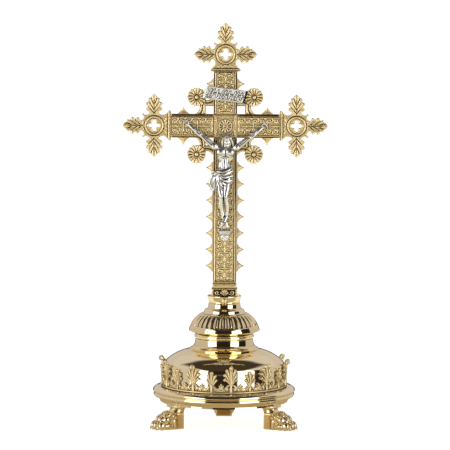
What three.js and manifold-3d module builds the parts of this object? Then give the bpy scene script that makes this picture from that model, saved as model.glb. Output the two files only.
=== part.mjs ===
// Altar cross with a cast corpus, on a round turned base with three paw feet.
// Millimetres, +Z up, front towards -Y. One central tie rod clamps the turned pieces of the stem
// and draws the cross down on its base.
import * as THREE from "three";
import { ConvexGeometry } from "three/addons/geometries/ConvexGeometry.js";
import { mergeVertices } from "three/addons/utils/BufferGeometryUtils.js";
import Module from "manifold-3d";

const wasm = await Module();
wasm.setup();

// Clearances
const seatGap = 0.3; // between two pieces that rest on each other
const slideGap = 0.4; // around a rod, screw, nail or pin in its hole
const roundSegments = 36;
const smallSegments = 10;

// Driving dimensions of the cross, measured from the centre of the crossing
const beam = { width: 35.2, depth: 10, armReach: 81.3, shaftLength: 237.3 };
const panel = { depth: 4, edge: 0.8, sideBevel: 3.6, endBevel: 1, bottomMargin: 2, tipMargin: 0.5 };
const backPlate = { depth: 1.6, margin: 2.2, reach: 76, length: 228 };
const finial = {
  lipWidth: 45,
  neckWidth: 31.6,
  footHeight: 25.4,
  leafReach: 47.5,
  leafWidth: 24.4,
  depth: 8,
};
const finialRing = { radius: 14.9, width: 3.4, proud: 1.4, lobeRadius: 4.4, lobeOffset: 4.6 };
const crocket = { height: 10.7, width: 17, depth: 9.4, armOffset: 63 };
const rail = { count: 7, pitch: 24.7, first: 63, thickness: 1.2, depth: 8 };
const rosette = { offset: 43, radius: 14.1, petals: 14, depth: 6, barNear: 29.6, barFar: 39.6 };

// Driving dimensions of what hangs on the cross
const titulus = {
  width: 60,
  height: 19.5,
  thickness: 1.6,
  rise: 47.5,
  tilt: -7,
  wave: 1.1,
  lean: 0.16,
  standoff: 0.9,
};
const corpus = { armSpan: 117.6, handDrop: 3, standoff: 0.4 };
const nail = { radius: 0.9, headRadius: 2, headHeight: 1.2, grip: 3 };
const footrest = { top: -156, width: 16, height: 6, depth: 13 };
const skull = { width: 13, height: 11.5, depth: 9 };

// Driving dimensions of the stem and base, from the floor up
const foot = {
  height: 36.5,
  ankleRadius: 79,
  reach: 125,
  width: 31,
  flangeDepth: 5,
  flangeWidth: 25,
  heelInset: 3.5,
  toes: 4,
};
const basePlate = { radius: 97, thickness: 2.5 };
const rim = { radius: 107.3, ledge: 6, height: 19.8, beadHeight: 7.5, wall: 3 };
const dome = {
  drumRadius: 91.5,
  drumHeight: 32.6,
  shoulderHeight: 23.1,
  neckFootRadius: 51.5,
  neckTopRadius: 43.5,
  neckHeight: 16.3,
  wall: 2.2,
};
const gallery = { thickness: 3, strip: 9, large: 41, small: 33, pairs: 10, turn: 6.5 };
const knopRing = { radius: 44.9, height: 6.7, wall: 9 };
const knop = {
  radius: 53.5,
  topRadius: 36,
  height: 30.5,
  flutes: 36,
  fluteDepth: 1.6,
  bandHeight: 8.9,
  undercut: 3.9,
  wall: 2.6,
};
const spool = { topRadius: 23.8, height: 15.3 };
const collar = { lipRadius: 25.6, height: 11.1, floor: 4.6, wall: 1.2, boss: 4.6 };
const shaftFoot = {
  width: 39,
  depth: 25,
  blockHeight: 17.2,
  beltWidth: 36,
  beltDepth: 17,
  beltHeight: 7.5,
};

// Driving dimensions of the fasteners
const rod = { radius: 3, intoShaft: 22, tail: 2.5 };
const nut = { radius: 6.3, height: 5 };
const washer = { radius: 9, thickness: 1.2 };
const footScrew = { radius: 2, headRadius: 4, headHeight: 2, grip: 13 };
const backScrew = { radius: 1.2, headRadius: 2.6, headHeight: 1.1, grip: 5 };
const pin = { radius: 0.8, headRadius: 1.8, headHeight: 1, spread: 10 };

// Levels of the stack that the rod clamps
const plateLevel = foot.height + seatGap;
const rimLevel = plateLevel + basePlate.thickness + seatGap;
const domeLevel = rimLevel + rim.height + seatGap;
const domeHeight = dome.drumHeight + dome.shoulderHeight + dome.neckHeight;
const knopRingLevel = domeLevel + domeHeight + seatGap;
const knopLevel = knopRingLevel + knopRing.height + seatGap;
const spoolLevel = knopLevel + knop.height + seatGap;
const collarLevel = spoolLevel + spool.height + seatGap;
const shaftFootLevel = collarLevel + collar.floor + seatGap;
const shaftLevel = shaftFootLevel + shaftFoot.blockHeight + shaftFoot.beltHeight + seatGap;
const crossingLevel = shaftLevel + beam.shaftLength;

// Planes of the cross, front to back
const beamFront = -beam.depth / 2;
const panelBack = beamFront - seatGap;
const panelFront = panelBack - panel.depth;
const rodHole = rod.radius + slideGap;
const nailHole = nail.radius + slideGap / 2;
const pinHole = pin.radius + slideGap / 2;
const backScrewHole = backScrew.radius + slideGap / 2;

// Finishes
const metal = (color, roughness) => new THREE.MeshStandardMaterial({ color, roughness, metalness: 1 });
const polishedBrass = () => metal(0xd9bd7a, 0.12);
const satinGold = () => metal(0xbfa468, 0.42);
const silverPlate = () => metal(0xd8d8d6, 0.25);
const brightSteel = () => metal(0xa9abad, 0.35);

// ---- Shape helpers

function solidOf(geometry) {
  const loose = geometry.index ? geometry.toNonIndexed() : geometry;
  const bare = new THREE.BufferGeometry().setAttribute("position", loose.getAttribute("position"));
  const merged = mergeVertices(bare, 1e-3);
  const triVerts = new Uint32Array(merged.index.array);
  const vertProperties = merged.attributes.position.array;
  return new wasm.Manifold(new wasm.Mesh({ numProp: 3, vertProperties, triVerts }));
}

function geometryOf(solid) {
  const mesh = solid.getMesh();
  const geometry = new THREE.BufferGeometry();
  geometry.setAttribute("position", new THREE.BufferAttribute(new Float32Array(mesh.vertProperties), 3));
  geometry.setIndex(new THREE.BufferAttribute(new Uint32Array(mesh.triVerts), 1));
  return geometry;
}

const join = (...pieces) => geometryOf(pieces.map(solidOf).reduce((a, b) => a.add(b)));

function cut(body, ...tools) {
  return geometryOf(tools.map(solidOf).reduce((a, b) => a.subtract(b), solidOf(body)));
}

// A profile of [radius, height] points, turned about the vertical axis.
function turned(profile, segments = roundSegments) {
  const points = profile.map(([r, h]) => new THREE.Vector2(r, h));
  if (THREE.ShapeUtils.area(points) < 0) points.reverse();
  if (points[0].x > 0) points.push(points[0].clone());
  return new THREE.LatheGeometry(points, segments).rotateX(Math.PI / 2);
}

// An outline in the front view, given as a Shape in x and z, between two depths.
function slab(shape, front, back) {
  const flat = new THREE.ExtrudeGeometry(shape, { depth: back - front, bevelEnabled: false });
  return flat.rotateX(Math.PI / 2).translate(0, back, 0);
}

const outline = (points) => new THREE.Shape(points.map(([x, z]) => new THREE.Vector2(x, z)));
const hull = (points) => new ConvexGeometry(points.map((p) => new THREE.Vector3(...p)));

function block([x0, y0, z0], [x1, y1, z1]) {
  const box = new THREE.BoxGeometry(x1 - x0, y1 - y0, z1 - z0);
  return box.translate((x0 + x1) / 2, (y0 + y1) / 2, (z0 + z1) / 2);
}

// A round bar from front to back, used for holes drilled square to the front of the cross.
function bore(x, z, radius, front, back) {
  const bar = new THREE.CylinderGeometry(radius, radius, back - front, smallSegments);
  return bar.translate(x, (front + back) / 2, z);
}

// An upright round bar.
function post(x, y, radius, bottom, top, segments = smallSegments) {
  const bar = new THREE.CylinderGeometry(radius, radius, top - bottom, segments).rotateX(Math.PI / 2);
  return bar.translate(x, y, (bottom + top) / 2);
}

function ballPoints([x, y, z], radius, rings = 4, around = 6) {
  const points = [
    [x, y, z + radius],
    [x, y, z - radius],
  ];
  for (let i = 1; i < rings; i++) {
    const tilt = (Math.PI * i) / rings;
    for (let j = 0; j < around; j++) {
      const turn = (2 * Math.PI * j) / around;
      const flat = radius * Math.sin(tilt);
      points.push([x + flat * Math.cos(turn), y + flat * Math.sin(turn), z + radius * Math.cos(tilt)]);
    }
  }
  return points;
}

// A tapering limb between two balls of their own radii.
const limb = ([a, radiusA], [b, radiusB]) => hull([...ballPoints(a, radiusA), ...ballPoints(b, radiusB)]);

const screwProfile = ({ radius, headRadius, headHeight, grip }) => [
  [0, -grip],
  [radius, -grip],
  [radius, 0],
  [headRadius, 0],
  [headRadius, headHeight * 0.6],
  [headRadius * 0.7, headHeight],
  [0, headHeight],
];

// A screw, nail or pin whose head stands proud of a plane, pointing back into the cross.
const frontScrew = (size) => turned(screwProfile(size), smallSegments).rotateX(Math.PI / 2);
const rearScrew = (size) => turned(screwProfile(size), smallSegments).rotateX(-Math.PI / 2);

// ---- The stem and base

function footGeometry() {
  const half = foot.width / 2;
  const plate = foot.flangeWidth / 2;
  const heel = foot.ankleRadius - foot.heelInset;
  const toeRadius = foot.width / (2 * foot.toes) + 1;
  const top = foot.height;
  const flangeMiddle = foot.ankleRadius + 1.5;
  const flange = block([flangeMiddle - plate, -plate, top - foot.flangeDepth], [flangeMiddle + plate, plate, top]);
  const ankleTop = [foot.ankleRadius, 0, top - foot.flangeDepth];
  const ankle = limb([[heel + 9.5, 0, 22], 9.2], [ankleTop, 10.5]);
  const ankleTrimmed = cut(ankle, block([0, -half, top - 1], [foot.reach, half, top + 20]));
  const pad = hull([
    ...[-half, half].flatMap((y) => [
      [heel, y * 0.8, 0],
      [heel, y * 0.8, 22],
      [heel + 3, y * 0.65, 26],
      [foot.reach - 18, y, 0],
      [foot.reach - 16, y * 0.9, 13],
      [foot.ankleRadius + 14, y * 0.75, 26],
    ]),
  ]);
  const toes = [];
  for (let i = 0; i < foot.toes; i++) {
    const side = (2 * (i + 0.5)) / foot.toes - 1;
    const y = side * (half - toeRadius * 0.7);
    const tip = foot.reach - toeRadius - Math.abs(side) ** 2 * 7;
    toes.push(limb([[tip - 15, y * 0.9, 13], toeRadius + 1], [[tip, y, toeRadius + 0.3], toeRadius]));
  }
  const hole = post(foot.ankleRadius, 0, footScrew.radius + slideGap, top - footScrew.grip, top + 1);
  return cut(join(flange, ankleTrimmed, pad, ...toes), hole);
}

function basePlateGeometry() {
  const disc = turned([
    [rodHole, 0],
    [basePlate.radius, 0],
    [basePlate.radius, basePlate.thickness],
    [rodHole, basePlate.thickness],
  ]);
  const holes = feetTurns.map((turn) => {
    const x = foot.ankleRadius * Math.cos(turn);
    const y = foot.ankleRadius * Math.sin(turn);
    return post(x, y, footScrew.radius + slideGap, -1, basePlate.thickness + 1);
  });
  return cut(disc, ...holes);
}

function rimGeometry() {
  const bead = rim.beadHeight;
  const lowBead = rim.height - 2 * bead;
  const ledge = dome.drumRadius - rim.ledge;
  return turned([
    [basePlate.radius + 1 - rim.wall, 0],
    [basePlate.radius + 1, 0],
    [basePlate.radius + 1, lowBead - 0.8],
    [rim.radius - 4, lowBead],
    [rim.radius - 1.2, lowBead + 0.2 * bead],
    [rim.radius, lowBead + 0.55 * bead],
    [rim.radius - 0.4, lowBead + 0.9 * bead],
    [rim.radius - 1.6, lowBead + bead],
    [rim.radius - 0.3, lowBead + 1.15 * bead],
    [rim.radius - 1.4, lowBead + 1.55 * bead],
    [rim.radius - 4.2, lowBead + 1.88 * bead],
    [rim.radius - 9, rim.height],
    [ledge, rim.height],
    [ledge, rim.height - rim.wall],
    [rim.radius - 10, rim.height - rim.wall],
    [rim.radius - 1.6 - rim.wall, lowBead + bead],
    [rim.radius - 4 - rim.wall, lowBead + 1],
  ]);
}

function quadratic(from, bend, to, steps) {
  const curve = new THREE.QuadraticBezierCurve(
    new THREE.Vector2(...from),
    new THREE.Vector2(...bend),
    new THREE.Vector2(...to),
  );
  return curve.getPoints(steps).map((p) => [p.x, p.y]);
}

// One face of the shell, from its foot to its top, at a distance inside the outer face.
function domeFace(inset, steps) {
  const neckFoot = dome.drumHeight + dome.shoulderHeight - inset;
  const drum = dome.drumRadius - inset;
  const ledge = dome.neckFootRadius - inset;
  const top = dome.neckTopRadius - inset;
  const shoulder = dome.drumHeight - inset;
  const shoulderBend = [ledge + 0.79 * (drum - ledge), shoulder + 0.66 * dome.shoulderHeight];
  const neckBend = [top + 0.7, neckFoot + 0.22 * dome.neckHeight];
  return [
    [drum, 0],
    ...quadratic([drum, shoulder], shoulderBend, [ledge, neckFoot], steps),
    ...quadratic([ledge - 1.6, neckFoot + 1.1], neckBend, [top, domeHeight - inset], steps - 2),
  ];
}

function domeGeometry() {
  const outside = domeFace(0, 6).reverse();
  const inside = domeFace(dome.wall, 4);
  const hole = [
    [rodHole, domeHeight - dome.wall],
    [rodHole, domeHeight],
  ];
  return turned([...hole, ...outside, ...inside]);
}

// An upright ring whose top edge follows a row of large and small leaves.
function galleryGeometry() {
  const inner = dome.drumRadius + seatGap * 2;
  const outer = inner + gallery.thickness;
  const perLeaf = 6;
  const segments = 2 * gallery.pairs * perLeaf;
  const arch = (height, distance, halfWidth) =>
    gallery.strip + (height - gallery.strip) * Math.sqrt(Math.max(0, 1 - (distance / halfWidth) ** 2));
  const pitch = (2 * Math.PI) / gallery.pairs;
  const positions = [];
  const indices = [];
  for (let i = 0; i < segments; i++) {
    const turn = (2 * Math.PI * i) / segments;
    const fromLarge = Math.abs(turn / pitch - Math.round(turn / pitch)) * 2;
    const top = Math.max(arch(gallery.large, fromLarge, 0.62), arch(gallery.small, 1 - fromLarge, 0.42));
    const angle = turn - Math.PI / 2 + THREE.MathUtils.degToRad(gallery.turn);
    const section = [
      [inner, 0],
      [outer, 0],
      [outer, top],
      [inner, top],
    ];
    for (const [radius, height] of section) {
      positions.push(radius * Math.cos(angle), radius * Math.sin(angle), height);
    }
    const here = 4 * i;
    const next = 4 * ((i + 1) % segments);
    for (let k = 0; k < 4; k++) {
      const l = (k + 1) % 4;
      indices.push(here + k, next + k, next + l, here + k, next + l, here + l);
    }
  }
  const ring = new THREE.BufferGeometry();
  ring.setAttribute("position", new THREE.Float32BufferAttribute(positions, 3));
  ring.setIndex(indices);
  return ring;
}

function knopRingGeometry() {
  const { radius, height, wall } = knopRing;
  return turned([
    [radius - wall, 0],
    [radius - 1.6, 0],
    [radius, height * 0.3],
    [radius, height * 0.7],
    [radius - 1.6, height],
    [radius - wall, height],
  ]);
}

// The knop's hollow bell, with flutes sunk between its plain band and its top edge.
function knopGeometry() {
  const { undercut, wall } = knop;
  const bandTop = undercut + knop.bandHeight;
  const crown = knop.height - bandTop - 2;
  const profile = [
    [knopRing.radius - 4 - wall, 0],
    [knopRing.radius - 4, 0],
    [knop.radius - 2.6, undercut],
    [knop.radius, undercut + 1],
    [knop.radius - 1.6, bandTop],
  ];
  for (const share of [0.04, 0.5, 0.97]) {
    const radius = knop.radius - 2.4 - (knop.radius - knop.topRadius - 4) * share ** 1.7;
    profile.push([radius, bandTop + crown * share]);
  }
  profile.push([knop.topRadius, knop.height - 1.4], [knop.topRadius, knop.height]);
  profile.push([rodHole, knop.height], [rodHole, knop.height - wall]);
  profile.push([knop.topRadius - 2 * wall, knop.height - wall]);
  profile.push([knop.radius - knop.fluteDepth - 2 * wall, bandTop]);
  profile.push([knop.radius - 2 * wall, undercut + wall]);
  const bell = turned(profile, 2 * knop.flutes);
  const position = bell.getAttribute("position");
  for (let i = 0; i < position.count; i++) {
    const x = position.getX(i);
    const y = position.getY(i);
    const z = position.getZ(i);
    const step = Math.round((Math.atan2(y, x) * knop.flutes) / Math.PI);
    const outside = Math.hypot(x, y) > knop.topRadius;
    if (step % 2 === 0 || !outside || z < bandTop + 0.1 || z > knop.height - 1.5) continue;
    const share = 1 - knop.fluteDepth / Math.hypot(x, y);
    position.setXY(i, x * share, y * share);
  }
  return bell;
}

function spoolGeometry() {
  const base = knop.topRadius - 0.6;
  const { topRadius, height } = spool;
  return turned(
    [
      [rodHole, 0],
      [base, 0],
      [base, height * 0.12],
      [topRadius + 7.6, height * 0.24],
      [topRadius + 7, height * 0.34],
      [topRadius + 3.6, height * 0.42],
      [topRadius + 1, height * 0.68],
      [topRadius, height],
      [rodHole, height],
    ],
  );
}

function collarGeometry() {
  const { lipRadius, height, floor, wall, boss } = collar;
  const cup = turned(
    [
      [rodHole, 0],
      [spool.topRadius - 0.4, 0],
      [lipRadius - 1.6, height * 0.45],
      [lipRadius, height],
      [lipRadius - wall, height],
      [lipRadius - wall - 1, floor],
      [rodHole, floor],
    ],
  );
  const bossBall = hull(ballPoints([0, 1.6 - lipRadius, height * 0.36], boss, 4, 10));
  const clear = post(0, 0, lipRadius - 3.4, -boss, height + boss);
  return join(cup, cut(bossBall, clear, block([-boss, -2 * lipRadius, -boss], [boss, 0, 0.2])));
}

// The block that stands in the collar, with the belt moulding that the upright rises from.
function shaftFootGeometry() {
  const { width, depth, blockHeight, beltWidth, beltDepth, beltHeight } = shaftFoot;
  const tier = (w, d, bottom, top) => block([-w / 2, -d / 2, bottom], [w / 2, d / 2, top]);
  const pedestal = tier(width, depth, 0, blockHeight - 2);
  const cornice = tier(width - 3, depth - 3, blockHeight - 3, blockHeight + 0.5);
  const belt = tier(beltWidth, beltDepth, blockHeight, blockHeight + beltHeight * 0.6);
  const fillet = tier(beltWidth - 2, beltDepth - 2, blockHeight, blockHeight + beltHeight);
  const height = blockHeight + beltHeight;
  return cut(join(pedestal, cornice, belt, fillet), post(0, 0, rodHole, -1, height + 1));
}

// ---- The cross

const crossShape = (half, reach, length) =>
  outline([
    [-half, -length],
    [half, -length],
    [half, -half],
    [reach, -half],
    [reach, half],
    [half, half],
    [half, reach],
    [-half, reach],
    [-half, half],
    [-reach, half],
    [-reach, -half],
    [-half, -half],
  ]);

const backScrewSpots = () => {
  const near = backPlate.reach - 12;
  return { top: [0, near], left: [-near, 0], right: [near, 0], bottom: [0, 24 - backPlate.length] };
};

function crossBodyGeometry() {
  const body = slab(crossShape(beam.width / 2, beam.armReach, beam.shaftLength), beamFront, -beamFront);
  const rodSocket = post(0, 0, rodHole, -beam.shaftLength - 1, rod.intoShaft + 2 - beam.shaftLength);
  const rear = -beamFront;
  const drill = ([x, z]) => bore(x, z, backScrewHole, rear - backScrew.grip, rear + 1);
  const holes = Object.values(backScrewSpots()).map(drill);
  return cut(body, rodSocket, ...holes);
}

function backPlateGeometry() {
  const back = -beamFront + seatGap;
  const rear = back + backPlate.depth;
  const shape = crossShape(beam.width / 2 - backPlate.margin, backPlate.reach, backPlate.length);
  const sheet = slab(shape, back, rear);
  const drill = ([x, z]) => bore(x, z, backScrewHole, back - 1, rear + 1);
  const holes = Object.values(backScrewSpots()).map(drill);
  return cut(sheet, ...holes);
}

// A raised panel with bevelled edges, lying between two distances along its beam.
function panelGeometry(from, to, alongX, holes = []) {
  const half = beam.width / 2;
  const side = alongX === null ? panel.endBevel : panel.sideBevel; // the crossing has no long side
  const corners = [];
  const addRectangle = (insetSide, insetEnd, y) => {
    for (const across of [-half + insetSide, half - insetSide]) {
      for (const along of [from + insetEnd, to - insetEnd]) {
        corners.push(alongX ? [along, y, across] : [across, y, along]);
      }
    }
  };
  addRectangle(0, 0, panelBack);
  addRectangle(0, 0, panelBack - panel.edge);
  addRectangle(side, panel.endBevel, panelFront);
  const plate = hull(corners);
  return holes.length ? cut(plate, ...holes) : plate;
}

// One leaf of a finial: outline points of its right side, as [along, across], from waist to tip.
function leafSide() {
  const long = finial.leafReach;
  const wide = finial.leafWidth / 2;
  return [
    [long * 0.4, wide * 0.62],
    [long * 0.5, wide * 0.96],
    [long * 0.57, wide * 0.93],
    [long * 0.62, wide * 0.8],
    [long * 0.69, wide],
    [long * 0.75, wide * 0.88],
    [long * 0.78, wide * 0.62],
    [long * 0.86, wide * 0.6],
    [long * 0.9, wide * 0.3],
    [long * 0.97, wide * 0.12],
    [long, 0],
  ];
}

// The outline of a finial with its ring centred on the origin and its foot below.
function finialOutline() {
  const side = leafSide();
  const upward = side.map(([along, across]) => [across, along]);
  const rightUpper = side.map(([along, across]) => [along, across]);
  const rightLower = side.slice(0, -1).map(([along, across]) => [along, -across]).reverse();
  const cusp = finialRing.radius * 1.16;
  const lip = finial.lipWidth / 2;
  const neck = finial.neckWidth / 2;
  const base = finial.footHeight;
  const right = [
    ...upward.reverse(),
    [cusp * 0.8, cusp * 0.84],
    [cusp, cusp],
    [cusp * 0.84, cusp * 0.8],
    ...rightUpper,
    ...rightLower,
    [neck + 0.6, -base * 0.37],
    [neck, -base * 0.53],
    [neck + 1.5, -base * 0.69],
    [lip - 1.9, -base * 0.81],
    [lip, -base * 0.88],
    [lip, -base * 0.97],
    [lip - 0.9, -base],
  ];
  const left = right.slice(1).map(([x, z]) => [-x, z]).reverse();
  return [...right, ...left];
}

function finialGeometry() {
  const shape = outline(finialOutline());
  const plate = slab(shape, -finial.depth / 2, finial.depth / 2);
  const openings = [0, 1, 2, 3].map((quarter) => {
    const turn = (quarter * Math.PI) / 2;
    const x = finialRing.lobeOffset * Math.cos(turn);
    const z = finialRing.lobeOffset * Math.sin(turn);
    return bore(x, z, finialRing.lobeRadius, -finial.depth, finial.depth);
  });
  openings.push(bore(0, 0, finialRing.lobeOffset, -finial.depth, finial.depth));
  const outer = finialRing.radius;
  const inner = outer - finialRing.width;
  const half = finial.depth / 2;
  const proud = half + finialRing.proud;
  const ring = turned(
    [
      [inner, -half],
      [outer, -half],
      [outer - 0.8, proud],
      [inner + 0.8, proud],
      [inner, half - 0.5],
    ],
    20,
  ).rotateX(Math.PI / 2);
  const consoleBlock = hull([
    ...[-1, 1].flatMap((side) => [
      [(side * finial.lipWidth) / 2 - side * 0.9, -half - 1.4, -finial.footHeight],
      [(side * finial.lipWidth) / 2 - side * 0.9, half + 1, -finial.footHeight],
      [(side * finial.lipWidth) / 2 - side * 0.6, -half - 1.4, -finial.footHeight * 0.86],
      [(side * finial.lipWidth) / 2 - side * 0.6, half + 1, -finial.footHeight * 0.86],
      [(side * finial.neckWidth) / 2, -half, -finial.footHeight * 0.68],
      [(side * finial.neckWidth) / 2, half, -finial.footHeight * 0.68],
    ]),
  ]);
  return cut(join(plate, ring, consoleBlock), ...openings);
}

// A four-sided spike with hollow flanks, pointing up, its base centred on the origin.
function crocketGeometry(height = crocket.height) {
  const half = crocket.width / 2;
  const spike = turned(
    [
      [0, 0],
      [half, 0],
      [half * 0.9, height * 0.12],
      [half * 0.55, height * 0.38],
      [half * 0.3, height * 0.68],
      [half * 0.08, height * 0.96],
      [0, height],
    ],
    4,
  );
  return spike.scale(1, crocket.depth / crocket.width, 1);
}

// The strip of spikes soldered along one side of the lower shaft, pointing to +X.
function railGeometry() {
  const spikes = [];
  const base = rail.thickness - 0.4;
  for (let i = 0; i < rail.count; i++) {
    const z = -rail.first - i * rail.pitch;
    spikes.push(crocketGeometry(crocket.height - base).rotateY(Math.PI / 2).translate(base, 0, z));
  }
  const top = -rail.first + crocket.width / 2 + 0.5;
  const bottom = -rail.first - (rail.count - 1) * rail.pitch - crocket.width / 2 - 0.5;
  const strip = block([0, -rail.depth / 2, bottom], [rail.thickness, rail.depth / 2, top]);
  return join(strip, ...spikes);
}

// A scalloped rosette on two bars, in the quarter of +X and +Z.
function rosetteGeometry() {
  const half = rosette.depth / 2;
  const near = beam.width / 2 + seatGap;
  const scallops = [];
  for (let i = 0; i < rosette.petals; i++) {
    for (const [share, radius] of [[0, 0.9], [0.3, 1], [0.7, 1]]) {
      const turn = (2 * Math.PI * (i + share)) / rosette.petals;
      scallops.push([
        rosette.offset + rosette.radius * radius * Math.cos(turn),
        rosette.offset + rosette.radius * radius * Math.sin(turn),
      ]);
    }
  }
  const disc = slab(outline(scallops), -half, half);
  const button = hull(ballPoints([0, 0, 0], 4, 4, 8)).scale(1, 0.5, 1);
  button.translate(rosette.offset, -half, rosette.offset);
  const bar = outline([
    [near, rosette.barNear],
    [rosette.offset, rosette.barNear],
    [rosette.offset, rosette.barFar],
    [near + 9, rosette.barFar],
    [near + 4, rosette.barFar + 1.4],
    [near, rosette.barFar + 4.6],
  ]);
  const level = slab(bar, -half * 0.7, half * 0.7);
  const turnedBar = outline(bar.getPoints().map((p) => [p.y, p.x]).reverse());
  const upright = slab(turnedBar, -half * 0.7, half * 0.7);
  return join(disc, button, level, upright);
}

// ---- What hangs on the cross

// A waved scroll plate with one rolled end, pierced for its two pins.
function titulusGeometry() {
  const { width, height, thickness, wave } = titulus;
  const steps = 12;
  const face = [];
  for (let i = 0; i <= steps; i++) {
    const x = width * (i / steps - 0.5);
    face.push([x, wave * Math.cos((x / width) * 3 * Math.PI)]);
  }
  const section = outline([...face, ...face.map(([x, y]) => [x, y + thickness]).reverse()]);
  const plate = new THREE.ExtrudeGeometry(section, { depth: height, bevelEnabled: false });
  plate.translate(0, 0, -height / 2);
  const roll = post(-width / 2 + 1.4, thickness / 2 - wave * 0.6, 1.9, -height / 2, height / 2);
  const lean = new THREE.Matrix4().makeShear(0, 0, 0, 0, titulus.lean, 0);
  const holes = [-1, 1].map((side) => bore(side * pin.spread, 0, pinHole, -9, 9));
  return cut(join(plate, roll).applyMatrix4(lean), ...holes);
}

// The figure, in front of the panels: y counts forward from their faces.
function corpusGeometry() {
  const hand = corpus.armSpan / 2;
  const at = (x, y, z) => [x, panelFront - corpus.standoff - y, z];
  const parts = [
    [[at(-1, 9, -16.5), 4.6], [at(-2, 11, -23), 3.8]],
    [[at(-0.5, 7.5, -24), 3], [at(0, 6.5, -31), 3.6]],
    [[at(-11, 6.5, -33), 5], [at(11.5, 6.5, -34), 5]],
    [[at(-6, 6.8, -36), 6], [at(-3, 6, -55), 5.4]],
    [[at(6.5, 6.8, -37), 6], [at(3.5, 6, -55), 5.4]],
    [[at(-3.5, 6, -54), 5.4], [at(-4.5, 7, -70), 7.2]],
    [[at(3, 6, -54), 5.2], [at(2, 7, -70), 7]],
    [[at(-14, 5.2, -62), 2.6], [at(-18.5, 4, -92), 3.6]],
    [[at(-6, 7.5, -72), 6.6], [at(-4.6, 10, -104), 4]],
    [[at(2.5, 7.5, -72), 6.4], [at(1, 11, -104), 4]],
    [[at(-4.6, 10, -104), 4], [at(-2.6, 5, -134), 2.8]],
    [[at(1, 11, -104), 4], [at(2.2, 6.5, -134), 2.8]],
    [[at(-2.6, 5, -134), 2.8], [at(-2.8, 6, -152), 2.6]],
    [[at(2.2, 6.5, -134), 2.8], [at(0.6, 7.5, -151), 2.6]],
    [[at(-16, 6.6, -33), 4], [at(-38, 5, -14), 2.8]],
    [[at(-38, 5, -14), 2.8], [at(5 - hand, 3.4, 2), 2.2]],
    [[at(16, 6.6, -34), 4], [at(38, 5, -17), 2.8]],
    [[at(38, 5, -17), 2.8], [at(hand - 5, 3.4, -1 - corpus.handDrop), 2.2]],
    [[at(5 - hand, 3.4, 2), 2.2], [at(-hand - 1, 2.4, 5.4), 2]],
    [[at(hand - 5, 3.4, -1 - corpus.handDrop), 2.2], [at(hand + 1, 2.4, 3.4 - corpus.handDrop), 2]],
    [[at(-12, 7, -70), 3.6], [at(9, 7, -68), 3.4]],
  ];
  const figure = join(...parts.map(([a, b]) => limb(a, b)));
  const holes = nailSpots().map(([x, z]) => bore(x, z, nailHole, panelFront - 30, panelFront + 1));
  return cut(figure, ...holes);
}

// Where the three nails go in, and how far their heads stand in front of the panels.
const nailSpots = () => {
  const hand = corpus.armSpan / 2;
  return [
    [-hand - 0.5, 4.6, 5.4],
    [hand + 0.5, 3 - corpus.handDrop, 5.4],
    [0, -145, 10.6],
  ];
};

function nailGeometry(stand) {
  return frontScrew({ ...nail, grip: stand + nail.grip });
}

function footrestGeometry() {
  const { width, height, depth } = footrest;
  const half = width / 2;
  return hull([
    ...[-1, 1].flatMap((side) => [
      [side * half, 0, 0],
      [side * half, -depth, 0],
      [side * half, 0, -height * 0.5],
      [side * half, -depth, -height * 0.5],
      [side * half * 0.7, 0, -height],
      [side * half * 0.7, -depth * 0.6, -height],
    ]),
  ]);
}

function skullGeometry() {
  const { width, height, depth } = skull;
  const vault = hull(ballPoints([0, 0, 0], 0.5, 6, 10)).scale(width, depth, height * 0.8);
  vault.translate(0, 0, height * 0.1);
  const jaw = block([-width * 0.26, -depth * 0.42, -height * 0.5], [width * 0.26, 0.1, -height * 0.1]);
  const sockets = [-1, 1].map((side) =>
    hull(ballPoints([side * width * 0.19, -depth * 0.46, height * 0.02], width * 0.13)),
  );
  const flatBack = block([-width, 0, -height], [width, depth, height]);
  return cut(join(vault, jaw), ...sockets, flatBack);
}

// ---- Assembly

const feetTurns = [-150, -30, 90].map(THREE.MathUtils.degToRad);
const feetNames = ["left", "right", "rear"];
const assembly = new THREE.Group();
const cross = new THREE.Group();
cross.position.z = crossingLevel;
assembly.add(cross);

function add(parent, name, geometry, material, position = [0, 0, 0], rotation = [0, 0, 0]) {
  const mesh = new THREE.Mesh(geometry, material);
  mesh.name = name;
  mesh.position.set(...position);
  mesh.rotation.set(...rotation);
  parent.add(mesh);
  return mesh;
}

feetTurns.forEach((turn, i) => {
  const stand = new THREE.Group();
  stand.rotation.z = turn;
  assembly.add(stand);
  const screwLevel = plateLevel + basePlate.thickness + seatGap;
  const screw = turned(screwProfile(footScrew), smallSegments);
  add(stand, `foot_${feetNames[i]}`, footGeometry(), polishedBrass());
  add(stand, `foot_screw_${feetNames[i]}`, screw, brightSteel(), [foot.ankleRadius, 0, screwLevel]);
});

add(assembly, "base_plate", basePlateGeometry(), polishedBrass(), [0, 0, plateLevel]);
add(assembly, "rim", rimGeometry(), polishedBrass(), [0, 0, rimLevel]);
add(assembly, "base_dome", domeGeometry(), polishedBrass(), [0, 0, domeLevel]);
add(assembly, "palmette_gallery", galleryGeometry(), satinGold(), [0, 0, domeLevel]);
add(assembly, "knop_ring", knopRingGeometry(), polishedBrass(), [0, 0, knopRingLevel]);
add(assembly, "knop", knopGeometry(), polishedBrass(), [0, 0, knopLevel]);
add(assembly, "neck_spool", spoolGeometry(), polishedBrass(), [0, 0, spoolLevel]);
add(assembly, "collar", collarGeometry(), polishedBrass(), [0, 0, collarLevel]);
add(assembly, "shaft_foot", shaftFootGeometry(), satinGold(), [0, 0, shaftFootLevel]);

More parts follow.
